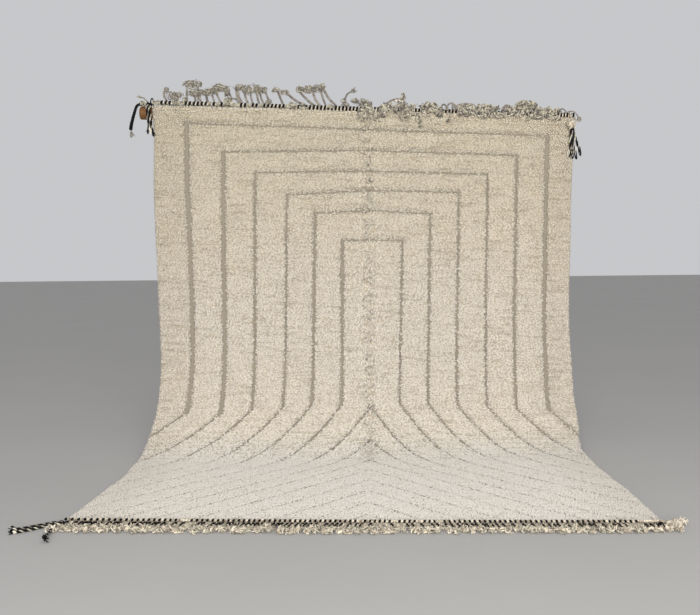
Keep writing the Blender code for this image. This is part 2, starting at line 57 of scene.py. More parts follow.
# %% Place the camera
CAMERA_PLACE = Vector((0.128, -4.280, 1.161))
CAMERA_TURN = 0.03645
CAMERA_TILT = 0.0678
CAMERA_ROLL = -0.01153
CAMERA_LENS = 44.23
SENSOR_WIDTH = 36.0


def camera_rotation():
    """The rotation of a camera that looks along +Y, turned left, tilted down and rolled."""
    upright = Matrix.Rotation(math.pi / 2, 3, "X")
    tilted = Matrix.Rotation(-CAMERA_TILT, 3, "X")
    turned = Matrix.Rotation(CAMERA_TURN, 3, "Z")
    rolled = Matrix.Rotation(-CAMERA_ROLL, 3, "Y")
    return (turned @ tilted @ rolled @ upright).to_euler()


bpy.ops.object.camera_add(location=CAMERA_PLACE, rotation=camera_rotation())
camera = bpy.context.object
camera.name = "camera"
camera.data.lens = CAMERA_LENS
camera.data.sensor_width = SENSOR_WIDTH
camera.data.sensor_fit = "HORIZONTAL"
bpy.context.scene.camera = camera
print("camera angles", [round(math.degrees(angle), 2) for angle in camera.rotation_euler])

# %% [markdown]
# ## Node materials
#
# A material is a little graph. Each box is a node, and this helper adds one, sets its options
# and fills its sockets, either with a value or with a wire from another node. Colours are
# written as they look on a screen, from 0 to 255, and turned into the linear values that the
# renderer works with.

# %% Helpers for materials
def linear(red, green, blue):
    """A screen colour, 0 to 255, as the renderer's linear colour."""
    channels = []
    for value in (red, green, blue):
        part = value / 255
        channels.append(part / 12.92 if part <= 0.04045 else ((part + 0.055) / 1.055) ** 2.4)
    return (*channels, 1.0)


def put(tree, kind, settings=None, **sockets):
    """Adds a node. A socket's name has _ for a space, and its value may be another's output."""
    node = tree.nodes.new("ShaderNode" + kind)
    for name, value in (settings or {}).items():
        setattr(node, name, value)
    for name, value in sockets.items():
        socket = node.inputs[name.replace("_", " ")]
        if isinstance(value, bpy.types.NodeSocket):
            tree.links.new(value, socket)
        else:
            socket.default_value = value
    return node


def start_material(name, roughness, sheen=0.0):
    """A material with its tree and its shader. The numbers sit on the shader's own sockets."""
    material = bpy.data.materials.new(name)
    material.use_nodes = True
    tree = material.node_tree
    shader = tree.nodes["Principled BSDF"]
    shader.inputs["Roughness"].default_value = roughness
    shader.inputs["Specular IOR Level"].default_value = 0.2
    shader.inputs["Sheen Weight"].default_value = sheen
    shader.inputs["Sheen Roughness"].default_value = 0.6
    return material, tree, shader


def wire(tree, shader, colour, height=None, strength=0.5, distance=0.001):
    """Wires a colour, and a height as bump, to the shader."""
    tree.links.new(colour, shader.inputs["Base Color"])
    if height is not None:
        bump = put(tree, "Bump", Height=height, Strength=strength, Distance=distance)
        tree.links.new(bump.outputs["Normal"], shader.inputs["Normal"])


print("a screen's middle grey is", round(linear(128, 128, 128)[0], 3), "in linear light")



# %% [markdown]
# ## Floor and light
#
# The floor is a plain pale studio floor. The light is soft: a bright room all round, and one
# large softbox in front, as high as the pole. It could be a small lamp or the sun, but a large
# light gives soft shadows, and its slant down draws out the rows of the pile. The picture's own
# colours are used, with no film look over them.

# %% Make the floor and the light
FLOOR_SIDE = 60.0
FLOOR_COLOUR = linear(178, 176, 173)
FLOOR_SHADE = linear(170, 168, 165)
ROOM_COLOUR = linear(236, 237, 240)
ROOM_STRENGTH = 0.68
SOFTBOX_SIDE = 4.5
SOFTBOX_PLACE = Vector((0.5, -6.6, 1.9))
SOFTBOX_AIM = Vector((0.0, 0.2, 0.8))
SOFTBOX_POWER = 640.0

bpy.ops.mesh.primitive_plane_add(size=FLOOR_SIDE)
floor = bpy.context.object
floor.name = "floor"
material, tree, shader = start_material("pale_floor", roughness=0.75)
place = put(tree, "TexCoord").outputs["Object"]
clouds = put(tree, "TexNoise", Vector=place, Scale=0.9, Detail=4.0)
tint = put(tree, "MixRGB", Fac=clouds.outputs["Fac"], Color1=FLOOR_SHADE, Color2=FLOOR_COLOUR)
wire(tree, shader, tint.outputs["Color"])
floor.data.materials.append(material)

bpy.ops.object.light_add(type="AREA", location=SOFTBOX_PLACE)
softbox = bpy.context.object
softbox.name = "softbox"
softbox.rotation_euler = (SOFTBOX_AIM - SOFTBOX_PLACE).to_track_quat("-Z", "Y").to_euler()
softbox.data.size = SOFTBOX_SIDE
softbox.data.energy = SOFTBOX_POWER
softbox.visible_camera = False

world = bpy.context.scene.world or bpy.data.worlds.new("room")
bpy.context.scene.world = world
world.use_nodes = True
background = world.node_tree.nodes["Background"]
background.inputs["Color"].default_value = ROOM_COLOUR
background.inputs["Strength"].default_value = ROOM_STRENGTH
bpy.context.scene.view_settings.view_transform = "Standard"
print("softbox looks along", [round(part, 2) for part in (SOFTBOX_AIM - SOFTBOX_PLACE).normalized()])

# %% [markdown]
# ## From flat cloth to draped cloth
#
# A weaver knows the rug flat: a place is so far across from its middle line, so far along
# from its top hem and so high above its woven back. Every piece here is laid out in those
# flat measures and then bent by one function, so the pile, the carved lines and the edgings
# all follow the same folds. A cloth simulation would also drape it, but the folds of a rug
# this stiff are simple: round the pole, straight down, and a wide curve onto the floor.

# %% The rug's flat measures
RUG_WIDTH = 2.500
RUG_LENGTH = 3.330
HALF_WIDTH = RUG_WIDTH / 2
RUG_THICK = 0.022
print("flat rug", RUG_WIDTH, "x", RUG_LENGTH, "m,", round(RUG_WIDTH * RUG_LENGTH, 2), "square metres")

# %% The drape's measures
POLE_RADIUS = 0.038
POLE_AXIS_Z = 1.934
POLE_SLOPE = -0.042
HEM_ANGLE = math.radians(60)
WRAP_CLEARANCE = 0.0008
BACK_RADIUS = POLE_RADIUS + WRAP_CLEARANCE
WRAP_LENGTH = HEM_ANGLE * BACK_RADIUS
AXIS_Y = RUG_THICK + BACK_RADIUS
SWEEP_RADIUS = 0.560
SWEEP_TILT = -0.072
SWEEP_BOW = -0.019
SHIFT = np.array((0.030, 0.845, 0.0))

# Half widths of the draped rug, because its sides draw in and out. The middle stays put.
SIDES = np.array((
    # along, left, right
    (0.00, 1.254, 1.244),
    (0.15, 1.246, 1.230),
    (0.55, 1.256, 1.218),
    (1.15, 1.246, 1.210),
    (1.60, 1.236, 1.234),
    (1.80, 1.234, 1.242),
    (2.05, 1.243, 1.218),
    (2.40, 1.246, 1.222),
    (2.63, 1.230, 1.236),
    (2.88, 1.248, 1.256),
    (3.33, 1.268, 1.264),
))
SIDE_POWER = 4

# The old centre fold and the slow swells, and where along the hanging cloth they come and go
FOLDS_COME = (0.10, 0.60)
FOLDS_GO = (1.30, 2.00)
CREASE_ACROSS = 0.024
CREASE_WIDTH = 0.045
CREASE_DEPTH = 0.006
SWELL_HEIGHT = 0.006
SWELL_PITCH = 1.7
SWELL_START = 0.9
print("the rug's back bends round", BACK_RADIUS, "m at the pole and", SWEEP_RADIUS, "m on the floor")


# %% Bend the flat cloth
def ramp(low, high, value):
    """Rises smoothly from 0 at low to 1 at high."""
    part = np.clip((value - low) / (high - low), 0.0, 1.0)
    return part * part * (3 - 2 * part)


def drawn_in(across, along):
    """The place across after the sides have drawn in."""
    row = np.clip(np.searchsorted(SIDES[:, 0], along) - 1, 0, len(SIDES) - 2)
    part = ramp(SIDES[row, 0], SIDES[row + 1, 0], along)
    column = np.where(across < 0, 1, 2)
    half = SIDES[row, column] + (SIDES[row + 1, column] - SIDES[row, column]) * part
    return across + np.sign(across) * (half - HALF_WIDTH) * abs(across / HALF_WIDTH) ** SIDE_POWER


def stand_back(across, along):
    """How far the crease and the swells move the hanging cloth away from the viewer."""
    window = ramp(*FOLDS_COME, along) * (1 - ramp(*FOLDS_GO, along))
    crease = CREASE_DEPTH * np.exp(-(((across - CREASE_ACROSS) / CREASE_WIDTH) ** 2))
    swell = SWELL_HEIGHT * np.sin(math.tau * across / SWELL_PITCH + SWELL_START)
    return window * (crease + swell)


def drape(across, along, height):
    """Places in space, one row each, of points given in the rug's flat measures."""
    across, along, height = np.broadcast_arrays(*map(np.asarray, (across, along, height)))
    axis_z = POLE_AXIS_Z + POLE_SLOPE * across
    radius = SWEEP_RADIUS + SWEEP_TILT * across + SWEEP_BOW * across ** 2
    turned = along - WRAP_LENGTH - (axis_z - radius)
    angle = (WRAP_LENGTH - along) / BACK_RADIUS
    bend = np.clip(turned / radius, 0.0, math.pi / 2)
    on_floor = np.maximum(turned - radius * math.pi / 2, 0.0)
    wraps = (AXIS_Y - (BACK_RADIUS + height) * np.cos(angle),
             axis_z + (BACK_RADIUS + height) * np.sin(angle))
    hangs = (RUG_THICK - height, axis_z - (along - WRAP_LENGTH))
    sweeps = (RUG_THICK - radius + (radius - height) * np.cos(bend) - on_floor,
              radius - (radius - height) * np.sin(bend))
    y, z = (np.where(along < WRAP_LENGTH, a, np.where(turned < 0, b, c))
            for a, b, c in zip(wraps, hangs, sweeps))
    return np.stack((drawn_in(across, along), y + stand_back(across, along), z), -1) + SHIFT


print("hem at", drape(0.0, 0.0, 0.0).round(3), "front hem at", drape(0.0, RUG_LENGTH, 0.0).round(3))

# %% [markdown]
# ## The carved lines
#
# On the real rug the lines are rows that were left low while the pile grew around them. They
# are straight: arches with upright legs that bend outwards near the floor, and chevrons below.
# Here a line is a chain of straight stretches in flat measures, each with its own width. What
# matters for every later step is one number, a point's distance from the nearest line's edge.

# %% Lay out the lines
PATTERN_MIDDLE = 0.030
LEAN_MIDDLE = 0.60
LEAN_SIDE = 0.45
FLOOR_LEAN_FROM = 2.350
FLOOR_LEAN = 0.90
OVERRUN = 0.060
BAR_WIDTH = 0.011
LOWER_WIDTH = 0.011
FLOOR_WIDTH = 0.0068
ARCHES = (
    # bar_left, bar_middle, bar_right, left, right, left_foot, right_foot, left_width, right_width
    (0.100, 0.109, 0.119, -1.052, 1.090, (-1.060, 1.850), (1.083, 1.750), 0.030, 0.026),
    (0.262, 0.231, 0.237, -0.833, 0.907, (-0.856, 1.850), (0.893, 1.750), 0.029, 0.020),
    (0.380, 0.351, 0.352, -0.644, 0.733, (-0.674, 1.820), (0.717, 1.740), 0.019, 0.014),
    (0.505, 0.466, 0.462, -0.457, 0.563, (-0.489, 1.795), (0.542, 1.740), 0.014, 0.015),
    (0.610, 0.583, 0.592, -0.292, 0.393, (-0.320, 1.775), (0.370, 1.740), 0.021, 0.017),
    (0.766, 0.758, 0.756, -0.131, 0.227, (-0.143, 1.765), (0.201, 1.740), 0.023, 0.014),
)
# Where a left leg also bends on its way down, by the number of its arch
WAISTS = {0: [(-1.041, 1.180)]}
CHEVRONS = (1.765, 2.015, 2.260, 2.480, 2.670, 2.860, 3.050, 3.230)


def run_down(across, along, side):
    """The stretches of a line from its bend down past the front hem."""
    stretches = []
    if along < FLOOR_LEAN_FROM:
        lean = LEAN_MIDDLE + LEAN_SIDE * (across / HALF_WIDTH) ** 2
        knee = (across + side * lean * (FLOOR_LEAN_FROM - along), FLOOR_LEAN_FROM)
        stretches.append(((across, along), knee, LOWER_WIDTH))
        across, along = knee
    run = RUG_LENGTH + OVERRUN - along
    stretches.append(((across, along), (across + side * FLOOR_LEAN * run, along + run), FLOOR_WIDTH))
    return stretches


def carved_lines():
    """Every line of the pattern as straight stretches: a start, an end and a width."""
    stretches = []
    for number, arch in enumerate(ARCHES):
        bar_left, bar_middle, bar_right, left, right, left_foot, right_foot, *widths = arch
        top_left, top_right = (left, bar_left), (right, bar_right)
        top_middle = (PATTERN_MIDDLE, bar_middle)
        stretches.append((top_left, top_middle, BAR_WIDTH))
        stretches.append((top_middle, top_right, BAR_WIDTH))
        left_leg = [top_left, *WAISTS.get(number, []), left_foot]
        stretches += [(start, end, widths[0]) for start, end in zip(left_leg, left_leg[1:])]
        stretches.append((top_right, right_foot, widths[1]))
        stretches += run_down(*left_foot, -1) + run_down(*right_foot, 1)
    for along in CHEVRONS:
        stretches += run_down(PATTERN_MIDDLE, along, -1) + run_down(PATTERN_MIDDLE, along, 1)
    return stretches


LINES = carved_lines()


def beyond_lines(across, along):
    """How far each flat point lies outside the nearest carved line's edge."""
    nearest = np.full(np.shape(across), np.inf)
    for (start_x, start_y), (end_x, end_y), width in LINES:
        run_x, run_y = end_x - start_x, end_y - start_y
        part = ((across - start_x) * run_x + (along - start_y) * run_y) / (run_x ** 2 + run_y ** 2)
        part = np.clip(part, 0.0, 1.0)
        gap = np.hypot(across - start_x - part * run_x, along - start_y - part * run_y)
        nearest = np.minimum(nearest, gap - width / 2)
    return nearest


print(len(LINES), "straight stretches")

# %% [markdown]
# ## Wool
#
# Sheep's wool is matt, with a soft sheen at its edges. It is never one cream, and each lock differs
# from the next. A colour ramp over the height in Object coordinates paints light and shade into
# the colour: painted shade makes the wool darker and warmer towards the pole, and painted shade
# with a cool cast of light darkens the part on the floor. A noise adds slow patches, and each
# lock's own tone, with painted shade at its root, comes from an attribute on the mesh.

# %% Wool of the pile
PILE_LIGHT = linear(240, 233, 220)
PILE_DARK = linear(168, 154, 130)
# The carved lines' low ground: its own darker taupe, and painted shade of the groove
CARVED_TONE_AND_SHADE = linear(141, 132, 116)
WARM_PATCH = (1.0, 0.975, 0.94, 1.0)
COOL_PATCH = (0.98, 0.99, 1.0, 1.0)
RAMP_TOP = 2.0
# Painted light and shade by height: darker and warmer near the pole, darker and cooler on the floor
PAINTED_LIGHT_BY_HEIGHT = (
    # height, share of red, green and blue that comes back
    (0.00, (0.87, 0.885, 0.93)),
    (0.04, (0.90, 0.915, 0.95)),
    (0.12, (1.00, 1.00, 1.02)),
    (0.40, (1.01, 1.01, 1.03)),
    (0.80, (1.00, 1.00, 1.02)),
    (1.20, (0.96, 0.95, 0.93)),
    (1.60, (0.92, 0.905, 0.86)),
    (2.00, (0.88, 0.86, 0.79)),
)


def painted_light_by_height(tree, place):
    """Painted light and shade, as a tint that depends on the height alone."""
    height = put(tree, "SeparateXYZ", Vector=place).outputs["Z"]
    part = put(tree, "MapRange", Value=height, From_Max=RAMP_TOP).outputs["Result"]
    ramp_node = put(tree, "ValToRGB", Fac=part)
    stops = ramp_node.color_ramp.elements
    for level, tint in PAINTED_LIGHT_BY_HEIGHT[1:-1]:
        stops.new(level / RAMP_TOP).color = (*tint, 1.0)
    stops[0].color = (*PAINTED_LIGHT_BY_HEIGHT[0][1], 1.0)
    stops[-1].color = (*PAINTED_LIGHT_BY_HEIGHT[-1][1], 1.0)
    return ramp_node.outputs["Color"]


def wool_of_pile():
    material, tree, shader = start_material("wool_pile", roughness=0.95, sheen=0.25)
    place = put(tree, "TexCoord").outputs["Object"]
    slow = put(tree, "TexNoise", Vector=place, Scale=1.7, Detail=3.0)
    warmth = put(tree, "MixRGB", Fac=slow.outputs["Fac"], Color1=WARM_PATCH, Color2=COOL_PATCH)
    # Each lock's own tone, with painted shade at the roots, in the crease and on the cloth's body
    tone_and_painted_shade = put(tree, "Attribute", {"attribute_name": "tone_and_painted_shade"})
    lock = put(tree, "MixRGB", Fac=tone_and_painted_shade.outputs["Fac"], Color1=PILE_DARK, Color2=PILE_LIGHT)
    tinted = put(tree, "MixRGB", {"blend_type": "MULTIPLY"}, Fac=1.0,
                 Color1=lock.outputs["Color"], Color2=warmth.outputs["Color"])
    # Painted light and shade by height over the locks' colour
    tinted = put(tree, "MixRGB", {"blend_type": "MULTIPLY"}, Fac=1.0,
                 Color1=tinted.outputs["Color"], Color2=painted_light_by_height(tree, place))
    # In the carved lines the colour turns to their darker taupe, partly painted shade of the groove
    carved = put(tree, "Attribute", {"attribute_name": "carved"})
    low = put(tree, "MixRGB", Fac=carved.outputs["Fac"],
              Color1=tinted.outputs["Color"], Color2=CARVED_TONE_AND_SHADE)
    fibres = put(tree, "TexNoise", Vector=place, Scale=420.0, Detail=3.0)
    wire(tree, shader, low.outputs["Color"], fibres.outputs["Fac"], strength=0.5, distance=0.002)
    return material


PILE_WOOL = wool_of_pile()
print(PILE_WOOL.name, len(PILE_WOOL.node_tree.nodes), "nodes")

# %% [markdown]
# The back of a knotted rug shows its weave: rows of knots crossed by the wefts, flat and
# regular. The rows follow the cloth, so this material reads the piece's own UV map, whose
# units are metres across and along.

# %% Woven back
KNOTS_PER_METRE = 110.0
BACK_LIGHT = linear(214, 203, 184)
BACK_MIDDLE = linear(206, 194, 173)
BACK_DARK = linear(176, 161, 136)
BACK_SHADE = (0.90, 0.88, 0.85, 1.0)
NO_SHADE = (1.0, 1.0, 1.0, 1.0)


def woven_back():
    material, tree, shader = start_material("woven_back", roughness=0.95, sheen=0.15)
    flat = put(tree, "UVMap", {"uv_map": "flat"}).outputs["UV"]
    knots = put(tree, "TexBrick", {"offset": 0.5}, Vector=flat, Scale=KNOTS_PER_METRE,
                Color1=BACK_LIGHT, Color2=BACK_MIDDLE, Mortar=BACK_DARK)
    for name, value in (("Mortar Size", 0.06), ("Mortar Smooth", 0.8), ("Row Height", 0.5)):
        knots.inputs[name].default_value = value
    slow = put(tree, "TexNoise", Vector=flat, Scale=3.0, Detail=4.0)
    shade = put(tree, "MixRGB", Fac=slow.outputs["Fac"], Color1=BACK_SHADE, Color2=NO_SHADE)
    tinted = put(tree, "MixRGB", {"blend_type": "MULTIPLY"}, Fac=1.0,
                 Color1=knots.outputs["Color"], Color2=shade.outputs["Color"])
    wire(tree, shader, tinted.outputs["Color"], knots.outputs["Fac"], strength=0.8, distance=-0.002)
    return material


BACK_WEAVE = woven_back()
print(BACK_WEAVE.name, len(BACK_WEAVE.node_tree.nodes), "nodes")

# %% [markdown]
# ## The cloth
#
# The cloth is one closed sheet. Its face is a fine grid that carries the body of the pile and
# sinks along the carved lines, and its back is a coarser grid, because it is plain. Both are
# grid primitives, moved in flat measures. Their rims don't have the same number of points, so
# a small zip joins them: it walks both rims and always steps on the side that lags behind.

# %% Measures of the cloth
FACE_COLUMNS = 215
FACE_ROWS = 286
BACK_COLUMNS = 60
BACK_ROWS = 96
WRAP_ROWS = 8
WRAP_END = 0.060
BODY_HEIGHT = 0.0155
LINE_HEIGHT = 0.0085
LINE_SLOPE = (-0.002, 0.010)
FINE_LUMPS = 0.0006
BROAD_LUMPS = 0.0008
RIM_WIDTH = 0.016
RIM_HEIGHT = 0.008


def pick_only(*things):
    """Deselects everything, then selects these and makes the first one active."""
    bpy.ops.object.select_all(action="DESELECT")
    for thing in things:
        thing.select_set(True)
    bpy.context.view_layer.objects.active = things[0]


def flat_grid(name, columns, rows):
    """A grid over the flat rug, with the top hem at y = 0 and the rest below it."""
    bpy.ops.object.select_all(action="DESELECT")
    bpy.ops.mesh.primitive_grid_add(x_subdivisions=columns, y_subdivisions=rows, size=1.0)
    grid = bpy.context.object
    grid.name = name
    bpy.ops.object.mode_set(mode="EDIT")
    bpy.ops.mesh.select_all(action="SELECT")
    bpy.ops.transform.resize(value=(RUG_WIDTH, RUG_LENGTH, 1.0))
    bpy.ops.transform.translate(value=(0.0, -RUG_LENGTH / 2, 0.0))
    bpy.ops.object.mode_set(mode="OBJECT")
    return grid


def read_points(mesh):
    points = np.empty(len(mesh.vertices) * 3)
    mesh.vertices.foreach_get("co", points)
    return points.reshape(-1, 3)


def write_points(mesh, points):
    mesh.vertices.foreach_set("co", np.asarray(points, float).ravel())
    mesh.update()


def body_height(across, along):
    """Height of the pile's body: lumpy, low in the lines and rolled off at the rims."""
    lumps = FINE_LUMPS * np.sin(across * 97 + 3 * np.sin(along * 13)) * np.sin(along * 83)
    lumps += BROAD_LUMPS * np.sin(across * 31 + along * 17) * np.sin(along * 29 - across * 11)
    rise = ramp(*LINE_SLOPE, beyond_lines(across, along))
    body = LINE_HEIGHT + (BODY_HEIGHT + lumps - LINE_HEIGHT) * rise
    inside = np.minimum(HALF_WIDTH - abs(across), np.minimum(along, RUG_LENGTH - along))
    roll = 1 - np.clip(inside / RIM_WIDTH, 0, 1)
    return body * (1 - roll ** 2) + RIM_HEIGHT * roll ** 2


rim_and_inside = body_height(np.array((HALF_WIDTH, 0.20)), 1.0)
print("body height at the rim and inside", rim_and_inside.round(4))

# %% Make the face and the back
face = flat_grid("rug_cloth", FACE_COLUMNS, FACE_ROWS)
points = read_points(face.data)
points[:, 2] = body_height(points[:, 0], -points[:, 1])
write_points(face.data, points)

back = flat_grid("rug_back", BACK_COLUMNS, BACK_ROWS)
points = read_points(back.data)
step = np.rint(-points[:, 1] / RUG_LENGTH * BACK_ROWS)
long_rows = WRAP_END + (RUG_LENGTH - WRAP_END) * (step - WRAP_ROWS) / (BACK_ROWS - WRAP_ROWS)
points[:, 1] = -np.where(step < WRAP_ROWS, WRAP_END * step / WRAP_ROWS, long_rows)
write_points(back.data, points)
back.data.flip_normals()
print(len(face.data.polygons), "squares on the face,", len(back.data.polygons), "on the back")


# %% Zip the rims and drape the cloth
SAME_PLACE = 1e-6
# The four sides: the axis they lie square to, their place on it, the turn of their triangles
RIM_SIDES = ((0, -HALF_WIDTH, 1), (0, HALF_WIDTH, -1), (1, 0.0, 1), (1, -RUG_LENGTH, -1))


def rim_of(points, first, axis, value):
    """Indices of the points on one side of the flat rug, in order, with each one's place."""
    on_side = np.flatnonzero(abs(points[:, axis] - value) < SAME_PLACE)
    order = on_side[np.argsort(points[on_side, 1 - axis])]
    return [(int(index) + first, float(points[index, 1 - axis])) for index in order]


def zip_rims(upper, lower):
    """Triangles between two rows of points."""
    triangles = []
    high, low = 0, 0
    while high + 1 < len(upper) or low + 1 < len(lower):
        next_high = upper[high + 1][1] if high + 1 < len(upper) else math.inf
        next_low = lower[low + 1][1] if low + 1 < len(lower) else math.inf
        if next_high <= next_low:
            triangles.append((upper[high][0], upper[high + 1][0], lower[low][0]))
            high += 1
        else:
            triangles.append((upper[high][0], lower[low + 1][0], lower[low][0]))
            low += 1
    return triangles


def faces_of(mesh, first=0):
    return [[first + index for index in polygon.vertices] for polygon in mesh.polygons]


def new_mesh(name, points, faces):
    mesh = bpy.data.meshes.new(name)
    mesh.from_pydata(np.asarray(points, float).tolist(), [], faces)
    mesh.update()
    return mesh


face_points, back_points = read_points(face.data), read_points(back.data)
first_back = len(face_points)
faces = faces_of(face.data) + faces_of(back.data, first_back)
face_count = len(face.data.polygons)
for axis, value, turn in RIM_SIDES:
    wall = zip_rims(rim_of(face_points, 0, axis, value), rim_of(back_points, first_back, axis, value))
    faces += [triangle[::turn] for triangle in wall]
flat_points = np.vstack((face_points, back_points))
draped = drape(flat_points[:, 0], -flat_points[:, 1], flat_points[:, 2])
cloth_mesh = new_mesh("rug_cloth", draped, faces)
for thing in (face, back):
    bpy.data.objects.remove(thing, do_unlink=True)
print(len(faces), "faces with the zip")


# %% Finish the cloth
LINE_FADE = (-0.001, 0.010)
# Painted shade: the cloth's body between the locks gets this low tone, dark as deep in the pile
GROUND_PAINTED_SHADE = 0.15


def add_attribute(mesh, name, values):
    layer = mesh.attributes.new(name, "FLOAT", "POINT")
    layer.data.foreach_set("value", np.asarray(values, np.float32))


def add_flat_map(mesh, flat):
    """A UV map in metres, across and along, for materials that follow the cloth."""
    corners = np.empty(len(mesh.loops), int)
    mesh.loops.foreach_get("vertex_index", corners)
    layer = mesh.uv_layers.new(name="flat")
    layer.data.foreach_set("uv", np.asarray(flat, float)[corners, :2].ravel())


def new_piece(name, mesh, nodes=(), materials=()):
    """An object at the origin that rides with the rug and stands for its CAD nodes."""
    piece = bpy.data.objects.new(name, mesh)
    bpy.context.scene.collection.objects.link(piece)
    for material in materials:
        mesh.materials.append(material)
    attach(piece, "root")
    if nodes:
        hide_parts(*nodes)
    return piece


def smooth(mesh):
    mesh.polygons.foreach_set("use_smooth", np.ones(len(mesh.polygons), bool))


add_flat_map(cloth_mesh, flat_points)
beyond = beyond_lines(flat_points[:, 0], -flat_points[:, 1])
# The carved mask marks where the lines' darker colour, partly painted shade, goes
add_attribute(cloth_mesh, "carved", 1 - ramp(*LINE_FADE, beyond))
add_attribute(cloth_mesh, "tone_and_painted_shade", np.full(len(flat_points), GROUND_PAINTED_SHADE))
material_numbers = np.ones(len(cloth_mesh.polygons), int)
material_numbers[:face_count] = 0
cloth = new_piece("rug_cloth", cloth_mesh, ("rug",), (PILE_WOOL, BACK_WEAVE))
cloth_mesh.polygons.foreach_set("material_index", material_numbers)
smooth(cloth_mesh)
pick_only(cloth)
bpy.ops.object.mode_set(mode="EDIT")
bpy.ops.mesh.select_all(action="SELECT")
bpy.ops.mesh.normals_make_consistent(inside=False)
bpy.ops.object.mode_set(mode="OBJECT")
cloth_mesh.calc_loop_triangles()
print("rug_cloth", len(cloth_mesh.loop_triangles), "triangles")

# %% [markdown]
# ## The pile
#
# The pile is nearly a hundred thousand cut wool locks in knotted rows. A lock is modelled once: a
# three-sided cone with a blunt foot, wide enough to touch its neighbours. Its foot sinks into
# the cloth's body and its tip leans down. Hair particles would be the other way, but they
# leave no mesh to export. The copies are planted in rows over the flat cloth and then draped.
# They keep off the carved lines, and a few are left out, which leaves the small dark hollows
# that every cut pile has.

# %% Model one lock
LOCK_FOOT = 0.2
LOCK_RADIUS = 0.62


def model_lock():
    """The points and the faces of one lock, with its tip one unit high and about one unit wide."""
    bpy.ops.object.select_all(action="DESELECT")
    middle = (1 + LOCK_FOOT) / 2
    bpy.ops.mesh.primitive_cone_add(vertices=3, radius1=LOCK_RADIUS, radius2=0.0, depth=1 - LOCK_FOOT,
                                    location=(0, 0, middle))
    lock = bpy.context.object
    bpy.ops.object.transform_apply(location=True, rotation=True, scale=True)
    points, faces = read_points(lock.data), faces_of(lock.data)
    bpy.data.objects.remove(lock, do_unlink=True)
    return points, faces


LOCK_POINTS, LOCK_FACES = model_lock()
print("lock", LOCK_POINTS.round(2).tolist(), LOCK_FACES)

# %% Plan the rows
ROW_PITCH = 0.0064
LOCK_PITCH = 0.0118
FINE_FROM = 2.30
FINE_ROW_PITCH = 0.0086
FINE_LOCK_PITCH = 0.0078
FIRST_ROW = 0.4
LAST_PLACE = 0.3
PLACE_JITTER = 0.35
ROW_WAVE = 0.0014
ROW_JITTER = 0.0011
KEEP_OFF = -0.0008
RAGGED_LINE = (-0.003, 0.004)
BARE_RIM = 0.003
HOLES = 0.085
CREASE_HOLES = 0.10
CREASE_FADE = (2.20, 2.42)

chance = np.random.default_rng(8)
streak_pace = chance.uniform(4.0, 14.0, int(RUG_LENGTH / ROW_PITCH) + 2)
streak_start = chance.uniform(0.0, math.tau, len(streak_pace))


def in_crease(across, along):
    """How much of the old centre fold's ruffled pile is at a place, 0 to 1."""
    return np.exp(-(((across - CREASE_ACROSS) / CREASE_WIDTH) ** 2)) * (1 - ramp(*CREASE_FADE, along))


def plan_zone(start, end, row_pitch, lock_pitch):
    """Where the locks between two rows stand, in flat measures."""
    rows = np.arange(start, end, row_pitch)
    places = np.arange(-HALF_WIDTH + lock_pitch / 2, HALF_WIDTH - lock_pitch * LAST_PLACE, lock_pitch)
    across, along = np.meshgrid(places, rows)
    across = across + lock_pitch / 2 * (np.arange(len(rows)) % 2)[:, None]
    across = across + chance.uniform(-PLACE_JITTER, PLACE_JITTER, across.shape) * lock_pitch
    along = along + ROW_WAVE * np.sin(across * 9 + along * 41)
    along = along + chance.uniform(-ROW_JITTER, ROW_JITTER, along.shape)
    across, along = across.ravel(), along.ravel()
    keep = beyond_lines(across, along) > KEEP_OFF + chance.uniform(*RAGGED_LINE, len(across))
    keep &= abs(across) < HALF_WIDTH - BARE_RIM
    keep &= chance.random(len(across)) > HOLES + (CREASE_HOLES - HOLES) * in_crease(across, along)
    return across[keep], along[keep]


def plan_locks():
    """The hanging part is planted in rows, and the part on the floor finer."""
    hanging = plan_zone(ROW_PITCH * FIRST_ROW, FINE_FROM, ROW_PITCH, LOCK_PITCH)
    on_floor = plan_zone(FINE_FROM, RUG_LENGTH - ROW_PITCH / 2, FINE_ROW_PITCH, FINE_LOCK_PITCH)
    return [np.concatenate(pair) for pair in zip(hanging, on_floor)]


lock_across, lock_along = plan_locks()
print(len(lock_across), "locks")

# %% How high the locks stand
PILE_TOP = 0.0225
FINE_LOWER = 0.003
ROLL_DROP = 0.006
ROLL_WIDTH = 0.020
HEIGHT_SPREAD = 0.0012
FINE_EVEN = 0.6
CREASE_DROP = 0.004


def lock_heights(across, along, fine, middle):
    """How high above the woven back each lock ends. The rims roll off, soonest at the top hem."""
    from_hems = np.minimum(along * 2 + ROLL_DROP, RUG_LENGTH - along)
    rolled = ROLL_DROP * (1 - ramp(0.0, ROLL_WIDTH, np.minimum(HALF_WIDTH - abs(across), from_hems)))
    uneven = chance.normal(0, HEIGHT_SPREAD, len(across)) * (1 - FINE_EVEN * fine)
    high = PILE_TOP - FINE_LOWER * fine - rolled + uneven
    return high - CREASE_DROP * middle * chance.random(len(across))


print("locks end", PILE_TOP, "m above the back, on the floor", round(PILE_TOP - FINE_LOWER, 4))

# %% How the locks lean
LEAN_DOWN = 0.0045
LEAN_SPREAD = 0.002
LINE_BELOW = 0.016
DROOP_MORE = 0.003
DROOP_WITHIN = 0.012
HEM_TURN = 1.5
HEM_TURN_WITHIN = 0.030
HEM_LEAN = 0.008
HEM_LEAN_WITHIN = 0.014
FINE_STEADY = 0.5
FRONT_UPRIGHT = 0.7
FRONT_WITHIN = 0.03
SIDE_SPREAD = 0.0025
CREASE_SPREAD = 0.014
RIM_LEAN = 0.004
RIM_LEAN_WITHIN = 0.02


